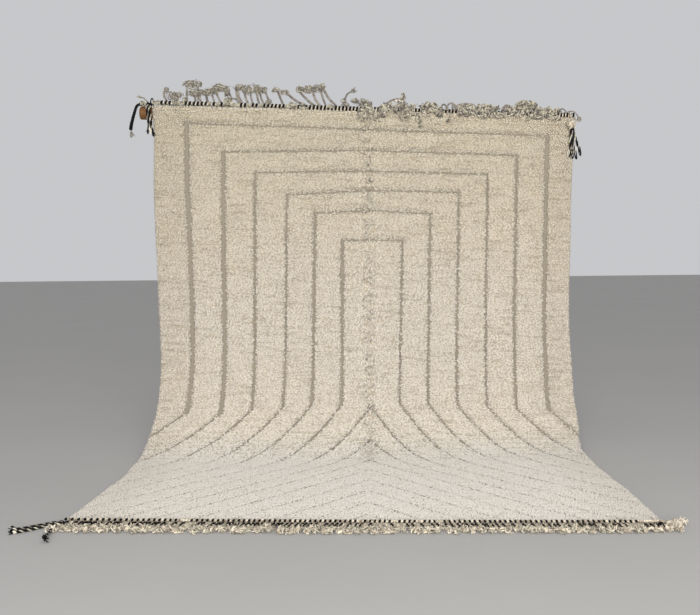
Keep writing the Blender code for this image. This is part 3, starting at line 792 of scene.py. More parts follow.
def lock_leans(across, along, fine, middle):
    """How far each tip leans down, and to the side. At the top hem the tips turn up over it."""
    number = len(across)
    below = beyond_lines(across, along + LINE_BELOW)
    droop = DROOP_MORE * (1 - ramp(0.0, DROOP_WITHIN, below))
    down = LEAN_DOWN + droop + chance.normal(0, LEAN_SPREAD, number)
    down *= (1 + HEM_TURN) * ramp(0.0, HEM_TURN_WITHIN, along) - HEM_TURN
    down -= HEM_LEAN * (1 - ramp(0.0, HEM_LEAN_WITHIN, along))
    upright = 1 - FRONT_UPRIGHT * ramp(RUG_LENGTH - FRONT_WITHIN, RUG_LENGTH, along)
    down *= (1 - FINE_STEADY * fine) * upright
    side = chance.normal(0, SIDE_SPREAD, number) * (1 - FINE_STEADY * fine)
    side = side + middle * chance.normal(0, CREASE_SPREAD, number)
    side += np.sign(across) * RIM_LEAN * (1 - ramp(0.0, RIM_LEAN_WITHIN, HALF_WIDTH - abs(across)))
    return down, side


print("a lock leans down by", round(math.degrees(math.atan(LEAN_DOWN / PILE_TOP)), 1), "degrees")

# %% How light the locks are
TONE = 0.88
TONE_SPREAD = 0.08
CREASE_TONE_SPREAD = 0.26
CREASE_PAINTED_SHADE = 0.04
STREAK_ABOVE = 0.86
STREAK_TONE = 0.55
RIM_DARKER = 0.16
RIM_FADE = (0.05, 0.35)
BAND_TONE = 0.07
BAND_ROWS = 7.3
# Painted shade at each lock's root and painted light at its tip
ROOT_TO_TIP_PAINTED_LIGHT = 0.60
FINE_PAINTED_LIGHT_LESS = 0.20
UNPAINTED_LEVEL = 0.75


def lock_tones_and_shade(across, along, fine, middle):
    """Each lock's tone: chance, the ruffled crease with painted shade in it, dark streaks in rows,
    rims and slow bands.
    """
    number = len(across)
    tone_and_painted_shade = TONE + chance.normal(0, TONE_SPREAD, number) * (1 - FINE_STEADY * fine)
    # The crease's locks vary more, and painted shade darkens them a little
    tone_and_painted_shade += (chance.normal(0, CREASE_TONE_SPREAD, number) - CREASE_PAINTED_SHADE) * middle
    row = np.rint(along / ROW_PITCH).astype(int)
    streak = np.sin(across * streak_pace[row] + streak_start[row]) > STREAK_ABOVE
    tone_and_painted_shade -= STREAK_TONE * streak * (1 - fine) * chance.random(number)
    tone_and_painted_shade -= RIM_DARKER * (1 - ramp(*RIM_FADE, HALF_WIDTH - abs(across)))
    bands = BAND_TONE * np.sin(along * math.tau / (ROW_PITCH * BAND_ROWS))
    return tone_and_painted_shade + bands * np.sin(across * 5 + along * 3)


print("slow bands are", round(ROW_PITCH * BAND_ROWS, 3), "m apart")

# %% Plant the locks
PILE_PIECES = 5
FINE_FADE = (FINE_FROM - 0.10, FINE_FROM + 0.05)
ROOT_SINK = 0.0025
LOCK_WIDE = 0.0188
LOCK_DEEP = 0.0092
LOCK_SIZES = (0.88, 1.14)
FINE_SMALLER = 0.24
CREASE_NARROWER = 0.42
CREASE_DEEPER = 0.90
TIP_BEND = 1.6


def plant(name, across, along):
    """One mesh of locks, each with its own size, lean, turn and tone, and painted shade at its root.
    """
    number = len(across)
    fine = ramp(*FINE_FADE, along)
    middle = in_crease(across, along)
    root = (body_height(across, along) - ROOT_SINK)[:, None]
    high = lock_heights(across, along, fine, middle)[:, None]
    down, side = lock_leans(across, along, fine, middle)
    size = chance.uniform(*LOCK_SIZES, number) * (1 - FINE_SMALLER * fine)
    turn = chance.uniform(0, math.tau, number)
    x, y, z = (LOCK_POINTS[:, axis][None, :] for axis in range(3))
    cosine, sine = np.cos(turn)[:, None], np.sin(turn)[:, None]
    wide = (x * cosine - y * sine) * (LOCK_WIDE * size * (1 - CREASE_NARROWER * middle))[:, None]
    deep = (x * sine + y * cosine) * (LOCK_DEEP * size * (1 + CREASE_DEEPER * middle))[:, None]
    flat_across = across[:, None] + wide + side[:, None] * z ** TIP_BEND
    flat_along = along[:, None] - deep + down[:, None] * z ** TIP_BEND
    flat_height = root + (high - root) * z
    places = drape(flat_across.ravel(), flat_along.ravel(), flat_height.ravel())
    offsets = (np.arange(number) * len(LOCK_POINTS))[:, None]
    faces = []
    for corners in LOCK_FACES:
        faces += (offsets + np.array(corners)[None, :]).tolist()
    mesh = new_mesh(name, places, faces)
    tone_and_painted_shade = lock_tones_and_shade(across, along, fine, middle)[:, None]
    # Painted shade darkens each lock towards its root, and painted light lightens its tip
    tones_with_painted_light = tone_and_painted_shade + (ROOT_TO_TIP_PAINTED_LIGHT - FINE_PAINTED_LIGHT_LESS * fine)[:, None] * (z - UNPAINTED_LEVEL)
    add_attribute(mesh, "tone_and_painted_shade", np.clip(tones_with_painted_light, 0, 1).ravel())
    add_attribute(mesh, "carved", np.zeros(number * len(LOCK_POINTS)))
    smooth(mesh)
    return new_piece(name, mesh, (), (PILE_WOOL,))


for number, part in enumerate(np.array_split(np.argsort(lock_along, kind="stable"), PILE_PIECES)):
    plant(f"pile_{number + 1}", lock_across[part], lock_along[part])

# %% [markdown]
# ## Yarn
#
# The edgings, fringes and tassels are yarn. Each thread is a curve with a round bevel, and the
# computer works out its path from a plain route through a few points: plied threads wind round
# each other, stitches go round an edge, and curls are short bent threads. A curve's thickness
# can change from point to point, and once it is made a mesh it is a closed tube. Modelling the
# twist with a screw modifier would also work, but only along a straight line.

# %% Yarn finishes
def yarn_finish(name, light, dark, sheen=0.3):
    material, tree, shader = start_material(name, roughness=0.9, sheen=sheen)
    place = put(tree, "TexCoord").outputs["Object"]
    patches = put(tree, "TexNoise", Vector=place, Scale=65.0, Detail=4.0).outputs["Fac"]
    part = put(tree, "MapRange", Value=patches, From_Min=0.36, From_Max=0.64).outputs["Result"]
    colour = put(tree, "MixRGB", Fac=part, Color1=dark, Color2=light)
    hairs = put(tree, "TexNoise", Vector=place, Scale=700.0, Detail=3.0)
    wire(tree, shader, colour.outputs["Color"], hairs.outputs["Fac"], strength=0.6, distance=0.0012)
    return material


YARNS = (
    yarn_finish("cream_yarn", linear(236, 229, 214), linear(200, 190, 168)),
    yarn_finish("grey_yarn", linear(154, 145, 133), linear(98, 90, 81)),
    yarn_finish("dark_yarn", linear(112, 101, 92), linear(60, 52, 46)),
    yarn_finish("black_yarn", linear(22, 21, 21), linear(6, 6, 6), sheen=0.0),
    yarn_finish("dusty_yarn", linear(200, 193, 170), linear(100, 93, 74)),
    yarn_finish("tan_yarn", linear(222, 210, 188), linear(126, 113, 92)),
)
CREAM, GREY, DARK, BLACK, DUSTY, TAN = range(6)
CLUMP_YARNS = {CREAM: (DUSTY, DUSTY, GREY, GREY), GREY: (GREY, GREY, DARK, DUSTY)}
# The dark curls among these are partly dark wool, partly painted shade in the gaps between the loops
FALLEN_YARNS_AND_SHADE = (TAN, DUSTY, DUSTY, DARK)
FRONT_YARNS = (TAN, TAN, TAN, DUSTY)
print([yarn.name for yarn in YARNS])


# %% Yarn routes
ROUTE_STEPS = 12
FEWEST_STEPS = 3
ODD_DIRECTION = (0.31, 0.22, 0.92)


def evenly(points, spacing):
    """A smooth route through a few points, as points about this far apart, and their marks."""
    points = np.asarray(points, float)
    ends = 2 * points[:1] - points[1:2], 2 * points[-1:] - points[-2:-1]
    line = np.vstack((ends[0], points, ends[1]))
    part = np.linspace(0, 1, ROUTE_STEPS, endpoint=False)[:, None]
    fine = []
    for a, b, c, d in zip(line, line[1:], line[2:], line[3:]):
        bend = (2 * a - 5 * b + 4 * c - d) * part ** 2 + (3 * b - a - 3 * c + d) * part ** 3
        fine.append((2 * b + (c - a) * part + bend) / 2)
    fine = np.vstack((*fine, points[-1:]))
    run = np.concatenate(([0.0], np.cumsum(np.linalg.norm(np.diff(fine, axis=0), axis=1))))
    marks = np.linspace(0, run[-1], max(int(run[-1] / spacing), FEWEST_STEPS) + 1)
    route = np.stack([np.interp(marks, run, fine[:, axis]) for axis in range(3)], -1)
    return route, marks


def square_to(route):
    """Two directions square to the route at each of its points, without any sudden turn."""
    ahead = np.gradient(route, axis=0)
    ahead /= np.linalg.norm(ahead, axis=1)[:, None]
    side = np.cross(ahead[0], ODD_DIRECTION)
    sides = []
    for direction in ahead:
        side = side - direction * side.dot(direction)
        side = side / np.linalg.norm(side)
        sides.append(side)
    sides = np.array(sides)
    return sides, np.cross(ahead, sides)


bent_route, bent_marks = evenly([(0, 0, 0), (0.05, 0, 0.02), (0.1, 0, 0)], 0.004)
print(len(bent_route), "points on a bent route of", round(bent_marks[-1], 3), "m")

# %% Yarn threads
THREAD_UNIT = 0.001


def start_yarns(name, rounder=1):
    """An empty curve object whose threads take their thickness point by point, in millimetres."""
    data = bpy.data.curves.new(name, "CURVE")
    data.dimensions = "3D"
    data.bevel_depth = THREAD_UNIT
    data.bevel_resolution = rounder
    data.use_fill_caps = True
    for material in YARNS:
        data.materials.append(material)
    yarns = bpy.data.objects.new(name, data)
    bpy.context.scene.collection.objects.link(yarns)
    return yarns


def add_thread(yarns, route, radius, colour, closed=False):
    """One thread. The radius is one number, or one for each point."""
    spline = yarns.data.splines.new("POLY")
    spline.points.add(len(route) - 1)
    spline.points.foreach_set("co", np.column_stack((route, np.ones(len(route)))).ravel())
    radii = np.broadcast_to(np.asarray(radius, float) / THREAD_UNIT, len(route))
    spline.points.foreach_set("radius", np.ascontiguousarray(radii))
    spline.material_index = colour
    spline.use_smooth = True
    spline.use_cyclic_u = closed


PLY_SHARE = {2: 0.52, 3: 0.48}


def add_plied(yarns, points, thick, pitch, colours, spacing=0.004, taper=1.0, phase=0.0):
    """Threads that wind round each other along a route."""
    route, marks = evenly(points, spacing)
    sides, ups = square_to(route)
    number = len(colours)
    share = PLY_SHARE[number]
    swell = 1 + (taper - 1) * (marks / marks[-1])[:, None]
    for index, colour in enumerate(colours):
        angle = (phase + math.tau * (marks / pitch + index / number))[:, None]
        orbit = (np.cos(angle) * sides + np.sin(angle) * ups) * thick * (1 - share) / 2 * swell
        add_thread(yarns, route + orbit, thick * share / 2 * swell[:, 0], colour)


print("a thread's share of a braid's thickness", PLY_SHARE)

# %% Curls
CURL_THICK = 0.0054
ROPE_THICK = 0.0100
CURL_LONG = 0.034
CURL_CLOSE = 5.4e-5
FEWEST_CURLS = 5
CURL_PLACES = (0.30, 1.15)
CURL_SIZES = (0.25, 0.6)
CURL_RISE = 0.5
CURL_SWAY = 0.6
CURL_TURN = 2.4
CURL_BOW = 0.45
CURL_RADII = (0.7, 1.25)
CURL_TAPER = 0.35
CURL_LIFT = 0.65


def add_curls(yarns, centre, spread, colours, fill=1.0, floor_level=None, thick=CURL_THICK):
    """A ragged woolly lump: short bent threads through and over a ball, and some stand out."""
    spread = np.asarray(spread, float)
    number = max(int(math.pi * spread[0] * spread[2] / CURL_CLOSE * fill), FEWEST_CURLS)
    steps = np.linspace(-1, 1, 5)[:, None]
    longer = (thick / CURL_THICK) ** 0.5
    for _ in range(number):
        outwards = chance.normal(size=3)
        outwards /= np.linalg.norm(outwards)
        ahead = np.cross(outwards, chance.normal(size=3))
        ahead = ahead + outwards * chance.uniform(-CURL_RISE, CURL_RISE)
        ahead /= np.linalg.norm(ahead)
        aside = np.cross(ahead, outwards) * chance.uniform(-CURL_SWAY, CURL_SWAY)
        place = centre + outwards * spread * chance.uniform(*CURL_PLACES)
        bend = aside * np.sin(CURL_TURN * steps) - outwards * CURL_BOW * steps ** 2
        route = place + (ahead * steps + bend) * CURL_LONG * longer * chance.uniform(*CURL_SIZES)
        if floor_level is not None:
            route[:, 2] = np.maximum(route[:, 2], floor_level + thick * CURL_LIFT)
        radii = thick / 2 * chance.uniform(*CURL_RADII) * (1 - CURL_TAPER * steps[:, 0] ** 2)
        add_thread(yarns, route, radii, int(chance.choice(colours)))


print("a curl is", [round(2 * CURL_LONG * size, 3) for size in CURL_SIZES], "m long")

# %% Finish the yarns
def finish_yarns(yarns, slot, *nodes):
    """Makes the threads one mesh that rides with the rug and stands for its CAD node."""
    pick_only(*yarns)
    bpy.ops.object.convert(target="MESH")
    pick_only(*yarns)
    if len(yarns) > 1:
        bpy.ops.object.join()
    piece = bpy.context.object
    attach(piece, "root")
    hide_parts(*nodes)
    piece.data.calc_loop_triangles()
    print(piece.name, len(piece.data.loop_triangles), "triangles")
    return piece


# %% [markdown]
# ## The twined edgings
#
# Along both hems, black and tan stitches go round the edge in turn. At the top the edge lies
# over the pile's corner, and in the middle it hangs lower, so the stitches look longer there.
# Where it is dusty, some of its black ones are pale. At the front they are short, and in a few
# places tan covers the black. A twisted rope would be quicker, but shows no single stitches.

# %% Lay out the edge at the top
# The edge's upper line is given over the pile's top corner, and it isn't quite level with it.
CORNER_RADIUS = BACK_RADIUS + RUG_THICK
CORNER_UP = CORNER_RADIUS * math.sin(HEM_ANGLE)
EDGE_RISE = 0.0144
EDGE_TILT = -0.0055
EDGE_TALL = np.array((
    # across, how tall the edge looks from the front
    (-1.27, 0.022), (-0.40, 0.023), (-0.33, 0.032), (-0.05, 0.030),
    (0.20, 0.024), (0.60, 0.024), (1.10, 0.027), (1.25, 0.027),
))


def in_front(across, up, proud=0.0):
    """A place so far above the edge's upper line, and just in front of the pole or the pile."""
    over_axis = CORNER_UP + EDGE_RISE + EDGE_TILT * across + up
    inside = np.clip(over_axis, 0.0, CORNER_UP)
    y = AXIS_Y - np.sqrt(CORNER_RADIUS ** 2 - inside ** 2) - proud
    z = POLE_AXIS_Z + POLE_SLOPE * across + over_axis
    return np.stack((drawn_in(np.asarray(across), 0.0), y, z), -1) + SHIFT


print("the top edge's upper line at its middle", in_front(0.0, 0.0).round(3))

# %% Stitch the edgings
STITCH_STEPS = 9
EDGE_BACKWARDS = math.radians(30)
EDGE_SEEN = 0.79
STITCH_DEEP = 0.003
STITCH_THICK = 0.0105
TOP_BLACK_THICK = 0.0125
TOP_TAN_THICK = 0.0085
STITCH_SLANT = 0.0022
STITCH_PROUD = 0.002
STITCH_JITTER = 0.0006
TALL_JITTER = 0.001
FIRST_STITCH = 0.006
LAST_STITCH = 0.004
DUSTY_UP_TO = -0.35
DUSTY_SHARE = 0.3
TOP_PITCH = np.array(((-1.25, 0.0243), (-0.30, 0.0222), (-0.05, 0.0208), (1.25, 0.0178)))
FRONT_PITCH = np.array(((-1.25, 0.0270), (-0.90, 0.0230), (0.00, 0.0207), (1.25, 0.0215)))
FRONT_BLACK_THICK = 0.0102
FRONT_TAN_THICK = 0.0118
FRONT_LEVEL = 0.0205
FRONT_HALF = 0.0018
FRONT_OUT = 0.0068
FRONT_SLANT = 0.0018
SLANT_TURNS_AT = 0.3
FRONT_THICKS = (0.92, 1.06)
FRONT_GAPS = ((-0.777, -0.725), (-0.010, 0.018), (0.135, 0.162),
              (0.235, 0.262), (0.322, 0.350), (1.150, 1.260))


def add_stitch(yarns, middle, up, out, half, slant, thick, colour):
    """One closed stitch round an edge."""
    turn = np.linspace(0, math.tau, STITCH_STEPS, endpoint=False)[:, None]
    route = middle + np.cos(turn) * (half * up + np.array((slant, 0, 0)))
    route = route + np.sin(turn) * STITCH_DEEP * out
    add_thread(yarns, route, thick / 2, colour, closed=True)


def stitch_places(pitches):
    """Places across for the stitches, two to each pitch, a little uneven."""
    across, places = -HALF_WIDTH + FIRST_STITCH, []
    while across < HALF_WIDTH - LAST_STITCH:
        places.append(across)
        across += np.interp(across, pitches[:, 0], pitches[:, 1]) / 2
    return np.array(places) + chance.uniform(-STITCH_JITTER, STITCH_JITTER, len(places))


def stitch_top_edging():
    yarns = start_yarns("top_edging_stitches")
    up = np.array((0.0, math.sin(EDGE_BACKWARDS), math.cos(EDGE_BACKWARDS)))
    out = np.array((0.0, -math.cos(EDGE_BACKWARDS), math.sin(EDGE_BACKWARDS)))
    for number, across in enumerate(stitch_places(TOP_PITCH)):
        tall = np.interp(across, EDGE_TALL[:, 0], EDGE_TALL[:, 1])
        tall += chance.uniform(-TALL_JITTER, TALL_JITTER)
        half = tall / 2 / EDGE_SEEN - STITCH_THICK / 2
        middle = in_front(across, -tall / 2, STITCH_PROUD)
        colour, thick = ((BLACK, TOP_BLACK_THICK), (TAN, TOP_TAN_THICK))[number % 2]
        if colour == BLACK and across < DUSTY_UP_TO and chance.random() < DUSTY_SHARE:
            colour = DUSTY
        add_stitch(yarns, middle, up, out, half, STITCH_SLANT, thick, colour)
    return finish_yarns([yarns], "twined_edging", "top_edging")


def stitch_front_edging():
    yarns = start_yarns("front_edging_stitches")
    up, out = np.array((0.0, 0.0, 1.0)), np.array((0.0, -1.0, 0.0))
    for number, across in enumerate(stitch_places(FRONT_PITCH)):
        hidden = any(low < across < high for low, high in FRONT_GAPS)
        colour = (BLACK, TAN)[number % 2] if not hidden else TAN
        thick = (FRONT_BLACK_THICK, FRONT_TAN_THICK)[number % 2] * chance.uniform(*FRONT_THICKS)
        middle = drape(across, RUG_LENGTH + FRONT_OUT, FRONT_LEVEL)
        slant = FRONT_SLANT if across < SLANT_TURNS_AT else -FRONT_SLANT
        add_stitch(yarns, middle, up, out, FRONT_HALF, slant, thick, colour)
    return finish_yarns([yarns], "twined_edging", "front_edging")


top_edging = stitch_top_edging()
front_edging = stitch_front_edging()

# %% [markdown]
# ## The fringe at the top
#
# The warp ends are plied grey cords whose cut ends have sprung open into dusty curls. On the
# left half of the pole the cords stand up and lean left, and the curls meet in woolly clumps.
# On the right half they rise in loops and fall forward over the edge. No rule gives such a
# fringe, so it is laid out one by one: tables of standing cords, of loops and of clumps. A place in
# them is how far across and how far above the edge's upper line, in whole millimetres.

# %% Tables of the fringe
MILLIMETRES = 1000  # in a metre
STEMS = (
    # thick, places
    (15, (-1169, 2), (-1183, 26), (-1186, 55)),
    (15, (-1047, 3), (-1049, 45), (-1044, 92)),
    (13, (-982, 47), (-982, 71), (-979, 94)),
    (15, (-996, -16), (-999, 22), (-1002, 40)),
    (15, (-960, -15), (-970, 20), (-972, 41)),
    (19, (-921, -14), (-931, 29), (-931, 48)),
    (15, (-880, -15), (-893, 30), (-898, 49)),
    (15, (-838, -14), (-863, 34), (-869, 62)),
    (12, (-738, -15), (-754, 21), (-780, 29), (-796, 64)),
    (17, (-706, -16), (-737, 36), (-743, 90)),
    (17, (-722, -17), (-747, 34), (-752, 84)),
    (17, (-676, -15), (-694, 23), (-704, 67)),
    (15, (-647, -15), (-662, 21), (-669, 68)),
    (15, (-610, -13), (-623, 19), (-632, 69)),
    (15, (-585, -7), (-602, 26), (-614, 70)),
    (15, (-555, 0), (-567, 39), (-582, 77)),
    (17, (-470, -13), (-486, 27), (-507, 79)),
    (18, (-327, -11), (-399, 26), (-451, 66)),
    (18, (-277, -9), (-321, 23), (-372, 74)),
    (18, (-248, -8), (-280, 32), (-299, 89)),
    (15, (-218, -4), (-236, 40), (-250, 93)),
    (18, (-149, -8), (-201, 43), (-237, 105)),
    (12, (-106, 2), (-102, 50), (-90, 74), (-64, 89)),
)
LOOPS = (
    # colour, thick, places
    (GREY, 13, (136, 3), (158, 35), (196, 49), (231, 47), (253, 23), (256, -5)),
    (CREAM, 13, (146, -5), (167, 26), (199, 41), (232, 37), (247, 19), (250, -11)),
    (GREY, 12, (191, -7), (202, 20), (214, 26), (220, 9), (214, -18)),
    (DARK, 10, (367, 5), (369, 27), (382, 37), (396, 28), (396, 5)),
    (DARK, 12, (466, -4), (466, 20), (479, 27), (491, 17), (491, -7)),
    (GREY, 13, (499, -3), (502, 25), (521, 36), (538, 24), (541, -5)),
    (GREY, 15, (549, 6), (566, 25), (593, 33), (637, 32), (659, 22), (661, 4)),
    (GREY, 12, (531, 29), (570, 4), (596, -27)),
    (DARK, 12, (578, 23), (608, -6), (637, -29)),
    (CREAM, 12, (551, 22), (590, 2), (622, -26)),
    (DARK, 12, (608, 26), (634, 4), (670, -25)),
    (GREY, 12, (658, 13), (691, -12), (717, -38)),
    (CREAM, 12, (673, 23), (714, -5), (750, -34)),
    (DARK, 10, (730, -14), (738, 14), (756, 23), (778, 12), (784, -12)),
    (GREY, 12, (744, -23), (759, -4), (773, -1), (791, -15), (797, -36)),
    (DARK, 19, (822, -8), (833, 21), (849, 31), (867, 21), (874, -6)),
    (DARK, 10, (874, -7), (880, 10), (895, 12), (907, 1), (899, -13), (880, -12)),
    (DARK, 12, (948, 31), (972, 11), (998, 27)),
    (DARK, 10, (1072, 2), (1087, 11), (1098, -3), (1089, -25)),
    (GREY, 9, (1122, -6), (1128, 14), (1146, 20), (1164, 9), (1167, -7)),
    (DARK, 9, (1152, -4), (1164, 18), (1179, 22), (1193, 6)),
    (GREY, 9, (1188, -4), (1228, 8), (1254, -5), (1266, -39)),
    (GREY, 9, (-20, -19), (-28, -43), (-17, -73)),
    (CREAM, 10, (4, -18), (16, -48), (1, -78)),
    (GREY, 9, (34, -21), (28, -48), (46, -80)),
    (CREAM, 10, (63, -17), (78, -40), (66, -73)),
    (GREY, 9, (93, -16), (105, -45), (87, -67)),
    (CREAM, 9, (122, -15), (131, -32), (120, -51)),
    (GREY, 9, (193, -13), (208, -48), (232, -71)),
    (CREAM, 9, (273, -10), (282, -40), (264, -64)),
    (GREY, 9, (315, -39), (320, -74), (339, -104)),
    (CREAM, 7, (395, -42), (409, -78), (436, -89), (460, -70), (454, -40)),
    (GREY, 7, (505, -21), (508, -57), (501, -75)),
    (CREAM, 9, (631, -14), (667, -36), (708, -42)),
    (GREY, 9, (691, -18), (726, -40), (767, -34)),
    (CREAM, 9, (750, -18), (785, -42), (827, -34)),
    (CREAM, 9, (809, -15), (838, -37), (880, -21)),
)
CLUMPS = (
    # across, up, half wide, half tall, and the colour where it is not cream
    (-1169, 61, 19, 19), (-1117, 31, 49, 28), (-1060, 6, 17, 21), (-1018, 100, 60, 26),
    (-999, 49, 54, 24), (-920, 59, 59, 26), (-856, 81, 55, 27), (-807, 66, 21, 34),
    (-796, -2, 29, 32), (-728, 91, 36, 19), (-679, 78, 38, 30), (-630, 82, 28, 30),
    (-592, 81, 26, 19), (-558, 10, 21, 17), (-512, 83, 25, 17), (-467, 71, 32, 19),
    (-415, -11, 30, 25), (-354, -9, 21, 19), (-369, 89, 30, 24), (-321, 93, 40, 24),
    (-277, 96, 30, 24), (-240, 105, 21, 24), (-55, 95, 12, 15), (-188, -6, 17, 23),
    (-105, 8, 27, 15, GREY), (-43, 31, 30, 18), (1, 29, 27, 19), (34, 12, 23, 29),
    (102, -20, 15, 15), (121, -4, 15, 15), (231, 66, 18, 14, GREY), (223, 18, 29, 19),
    (246, -32, 27, 33), (328, -70, 19, 30), (415, 16, 22, 22), (438, -11, 21, 18),
    (389, -1, 18, 15), (572, 8, 32, 19, GREY), (631, -2, 30, 18), (709, 16, 29, 19),
    (696, -15, 30, 15), (773, -16, 27, 15), (924, 31, 32, 25), (969, 41, 40, 30),
    (1007, 36, 22, 25), (963, -2, 27, 18), (1036, -21, 45, 37), (1105, -17, 24, 19),
    (1143, 13, 22, 14, GREY), (-114, 35, 13, 10, GREY),
)

# %% Make the fringe at the top
ROOT_ALONG = -0.0166
ROOT_HEIGHT = 0.006
STEM_PROUD = -0.014
CLUMP_PROUD = -0.004
LOOP_PROUD = 0.013
LUMP_PROUD = 0.009
CORD_PITCH = 0.021
FOOT_JITTER = 0.010
# How high over the edge's upper line a loop passes behind it, starts from a root, ends in curls
LOOP_BEHIND = 0.012
LOOP_ROOTED = -0.012
LOOP_CURLED = -0.030
LOOP_CURLS = (0.012, 0.008, 0.016)
THIN_LOOP = 0.0095
# Clumps that hang over the edge, and clumps that stand behind it
LUMP_BELOW = 0.004
LUMP_DEEP = 0.014
CLUMP_DEEP = 0.020
FALLEN_FROM = 0.1
FALLEN_FILL = 0.5
SMALL_CLUMPS = (-1.20, 1.13, 0.080)
SMALL_HEIGHT = 0.016
SMALL_SPREAD = (0.013, 0.012, 0.011)
SMALL_FILL = 0.8
TANGLE = (-0.01, 1.13, 0.027)
TANGLE_GAPS = ((0.065, 0.110), (0.305, 0.345), (0.475, 0.545))
TANGLE_HIGH = (0.006, 0.026)
TANGLE_LOW = (-0.036, -0.010)
TANGLE_SIDE = (-0.015, 0.030)
TANGLE_OVER = 0.3
TANGLE_DOWN = 0.7
TANGLE_DIP = 0.2
TANGLE_THICK = 0.0115
TANGLE_ENDS = (0.017, 0.010, 0.014)
TANGLE_TOPS = (0.017, 0.014, 0.013)
TANGLE_FILL = 0.45


def root_at(across, height=ROOT_HEIGHT):
    """Where a warp end leaves the rug behind the top edge."""
    return drape(across, ROOT_ALONG, height)


def add_tangle(cords, curls):
    """Cords that rise behind the edge on the right half and fall forward over it."""
    for across in np.arange(*TANGLE):
        foot = across + chance.uniform(-FOOT_JITTER, FOOT_JITTER)
        if any(low < foot < high for low, high in TANGLE_GAPS):
            continue
        high, low = chance.uniform(*TANGLE_HIGH), chance.uniform(*TANGLE_LOW)
        side = chance.uniform(*TANGLE_SIDE)
        points = [root_at(foot), in_front(foot + side * TANGLE_OVER, high),
                  in_front(foot + side * TANGLE_DOWN, low * TANGLE_DIP, LOOP_PROUD),
                  in_front(foot + side, low, LOOP_PROUD)]
        add_plied(cords, points, TANGLE_THICK, CORD_PITCH, (GREY, DUSTY), spacing=0.006)
        top = in_front(foot, high * TANGLE_DOWN)
        for centre, spread in ((points[-1], TANGLE_ENDS), (top, TANGLE_TOPS)):
            add_curls(curls, centre, spread, FALLEN_YARNS_AND_SHADE, TANGLE_FILL, thick=ROPE_THICK)


def add_loops(cords, curls):
    """Cords that rise in a bow over the edge. The thin ones are of one colour."""
    for colour, thick, *places in LOOPS:
        thick, places = thick / MILLIMETRES, np.array(places) / MILLIMETRES
        points = []
        for across, up in places:
            points.append(in_front(across, up, LOOP_PROUD if up < LOOP_BEHIND else 0.0))
        if places[0][1] > LOOP_ROOTED:
            points.insert(0, root_at(places[0][0]))
        partner = colour if thick < THIN_LOOP else GREY
        if colour == CREAM:
            partner = DUSTY
        phase = chance.uniform(0, math.tau)
        add_plied(cords, points, thick, CORD_PITCH, (colour, partner), phase=phase)
        if places[-1][1] < LOOP_CURLED:
            add_curls(curls, points[-1], LOOP_CURLS, FALLEN_YARNS_AND_SHADE)


def add_clumps(curls):
    """The woolly clumps of curls, and small ones at the roots."""
    for sizes in CLUMPS:
        across, up, wide, tall = (size / MILLIMETRES for size in sizes[:4])
        colour = GREY if sizes[4:] else CREAM
        below = up < LUMP_BELOW
        centre = in_front(across, up, LUMP_PROUD if below else CLUMP_PROUD)
        spread = (wide, min(wide, tall, LUMP_DEEP if below else CLUMP_DEEP), tall)
        if below or across > FALLEN_FROM:
            add_curls(curls, centre, spread, FALLEN_YARNS_AND_SHADE, FALLEN_FILL, thick=ROPE_THICK)
        else:
            add_curls(curls, centre, spread, CLUMP_YARNS[colour])
    for across in np.arange(*SMALL_CLUMPS):
        foot = across + chance.uniform(-FOOT_JITTER, FOOT_JITTER)
        add_curls(curls, root_at(foot, SMALL_HEIGHT), SMALL_SPREAD, (DUSTY,), SMALL_FILL)


def top_fringe():
    cords = start_yarns("top_fringe_cords")
    curls = start_yarns("top_fringe_curls", 0)
    for thick, *places in STEMS:
        places = np.array(places) / MILLIMETRES
        points = [root_at(places[0][0])] + [in_front(*place, STEM_PROUD) for place in places]
        phase = chance.uniform(0, math.tau)
        add_plied(cords, points, thick / MILLIMETRES, CORD_PITCH, (GREY, GREY), phase=phase)
    add_loops(cords, curls)
    add_clumps(curls)
    add_tangle(cords, curls)
    return finish_yarns([cords, curls], "fringe_wool", "top_fringe")


top_fringe_piece = top_fringe()

# %% [markdown]
# ## The fringe on the floor
#
# At the front the cords lie on the floor, packed close. They slant to the left on the left
# half and to the right near the right corner, and their curls make one woolly band. Short
# black ends of the edging's yarn lie over most of them.

# %% Make the fringe on the floor
FRONT_FRINGE = (-1.220, 1.240, 0.0205)
FRONT_SLANTS = np.array(((-1.25, 22.0), (-0.30, 16.0), (0.30, 2.0), (1.25, -22.0)))
FRONT_LONG = np.array(((-1.25, 0.140), (0.00, 0.117), (0.40, 0.102), (1.25, 0.102)))
FRONT_FAN = 0.16
FRONT_UNEVEN = 0.010
FRONT_ROOT = (0.010, 0.0065)
FRONT_LEVELS = ((0.25, 0.0115), (0.5, 0.0100), (0.75, 0.0095))
FRONT_CORD_THICK = 0.0115
FRONT_TWIST = 0.024
FRONT_CURLS = ((0.54, 0.008), (0.84, 0.011))
FRONT_CURL_JITTER = 0.06
FRONT_CURL_LEVEL = 0.011
FRONT_CURL_WIDE = 0.014
FRONT_CURL_FILL = 0.42
FRONT_CURL_THICK = 0.0075

# The black ends: how many cords have one, where it starts and how far it goes
BLACK_SHARE = 0.78
BLACK_JITTER = 0.005
BLACK_START = (0.050, 0.022)
BLACK_LEFT = -0.014
BLACK_RIGHT = 0.009
BLACK_TURNS_AT = 0.1
BLACK_FORWARD = (-0.036, -0.024)
BLACK_RISE = 0.001
BLACK_ARCH = 0.004
BLACK_END_THICK = 0.0080


def beyond_front(across, past, height):
    """A place past the front hem."""
    return drape(across, RUG_LENGTH + past, height)


def add_black_end(cords, across):
    start = beyond_front(across + chance.uniform(-BLACK_JITTER, BLACK_JITTER), *BLACK_START)
    sideways = BLACK_LEFT if across < BLACK_TURNS_AT else BLACK_RIGHT
    end = start + np.array((sideways, chance.uniform(*BLACK_FORWARD), BLACK_RISE))
    middle = (start + end) / 2 + np.array((0.0, 0.0, BLACK_ARCH))
    route, _ = evenly([start, middle, end], 0.006)
    add_thread(cords, route, BLACK_END_THICK / 2, BLACK)


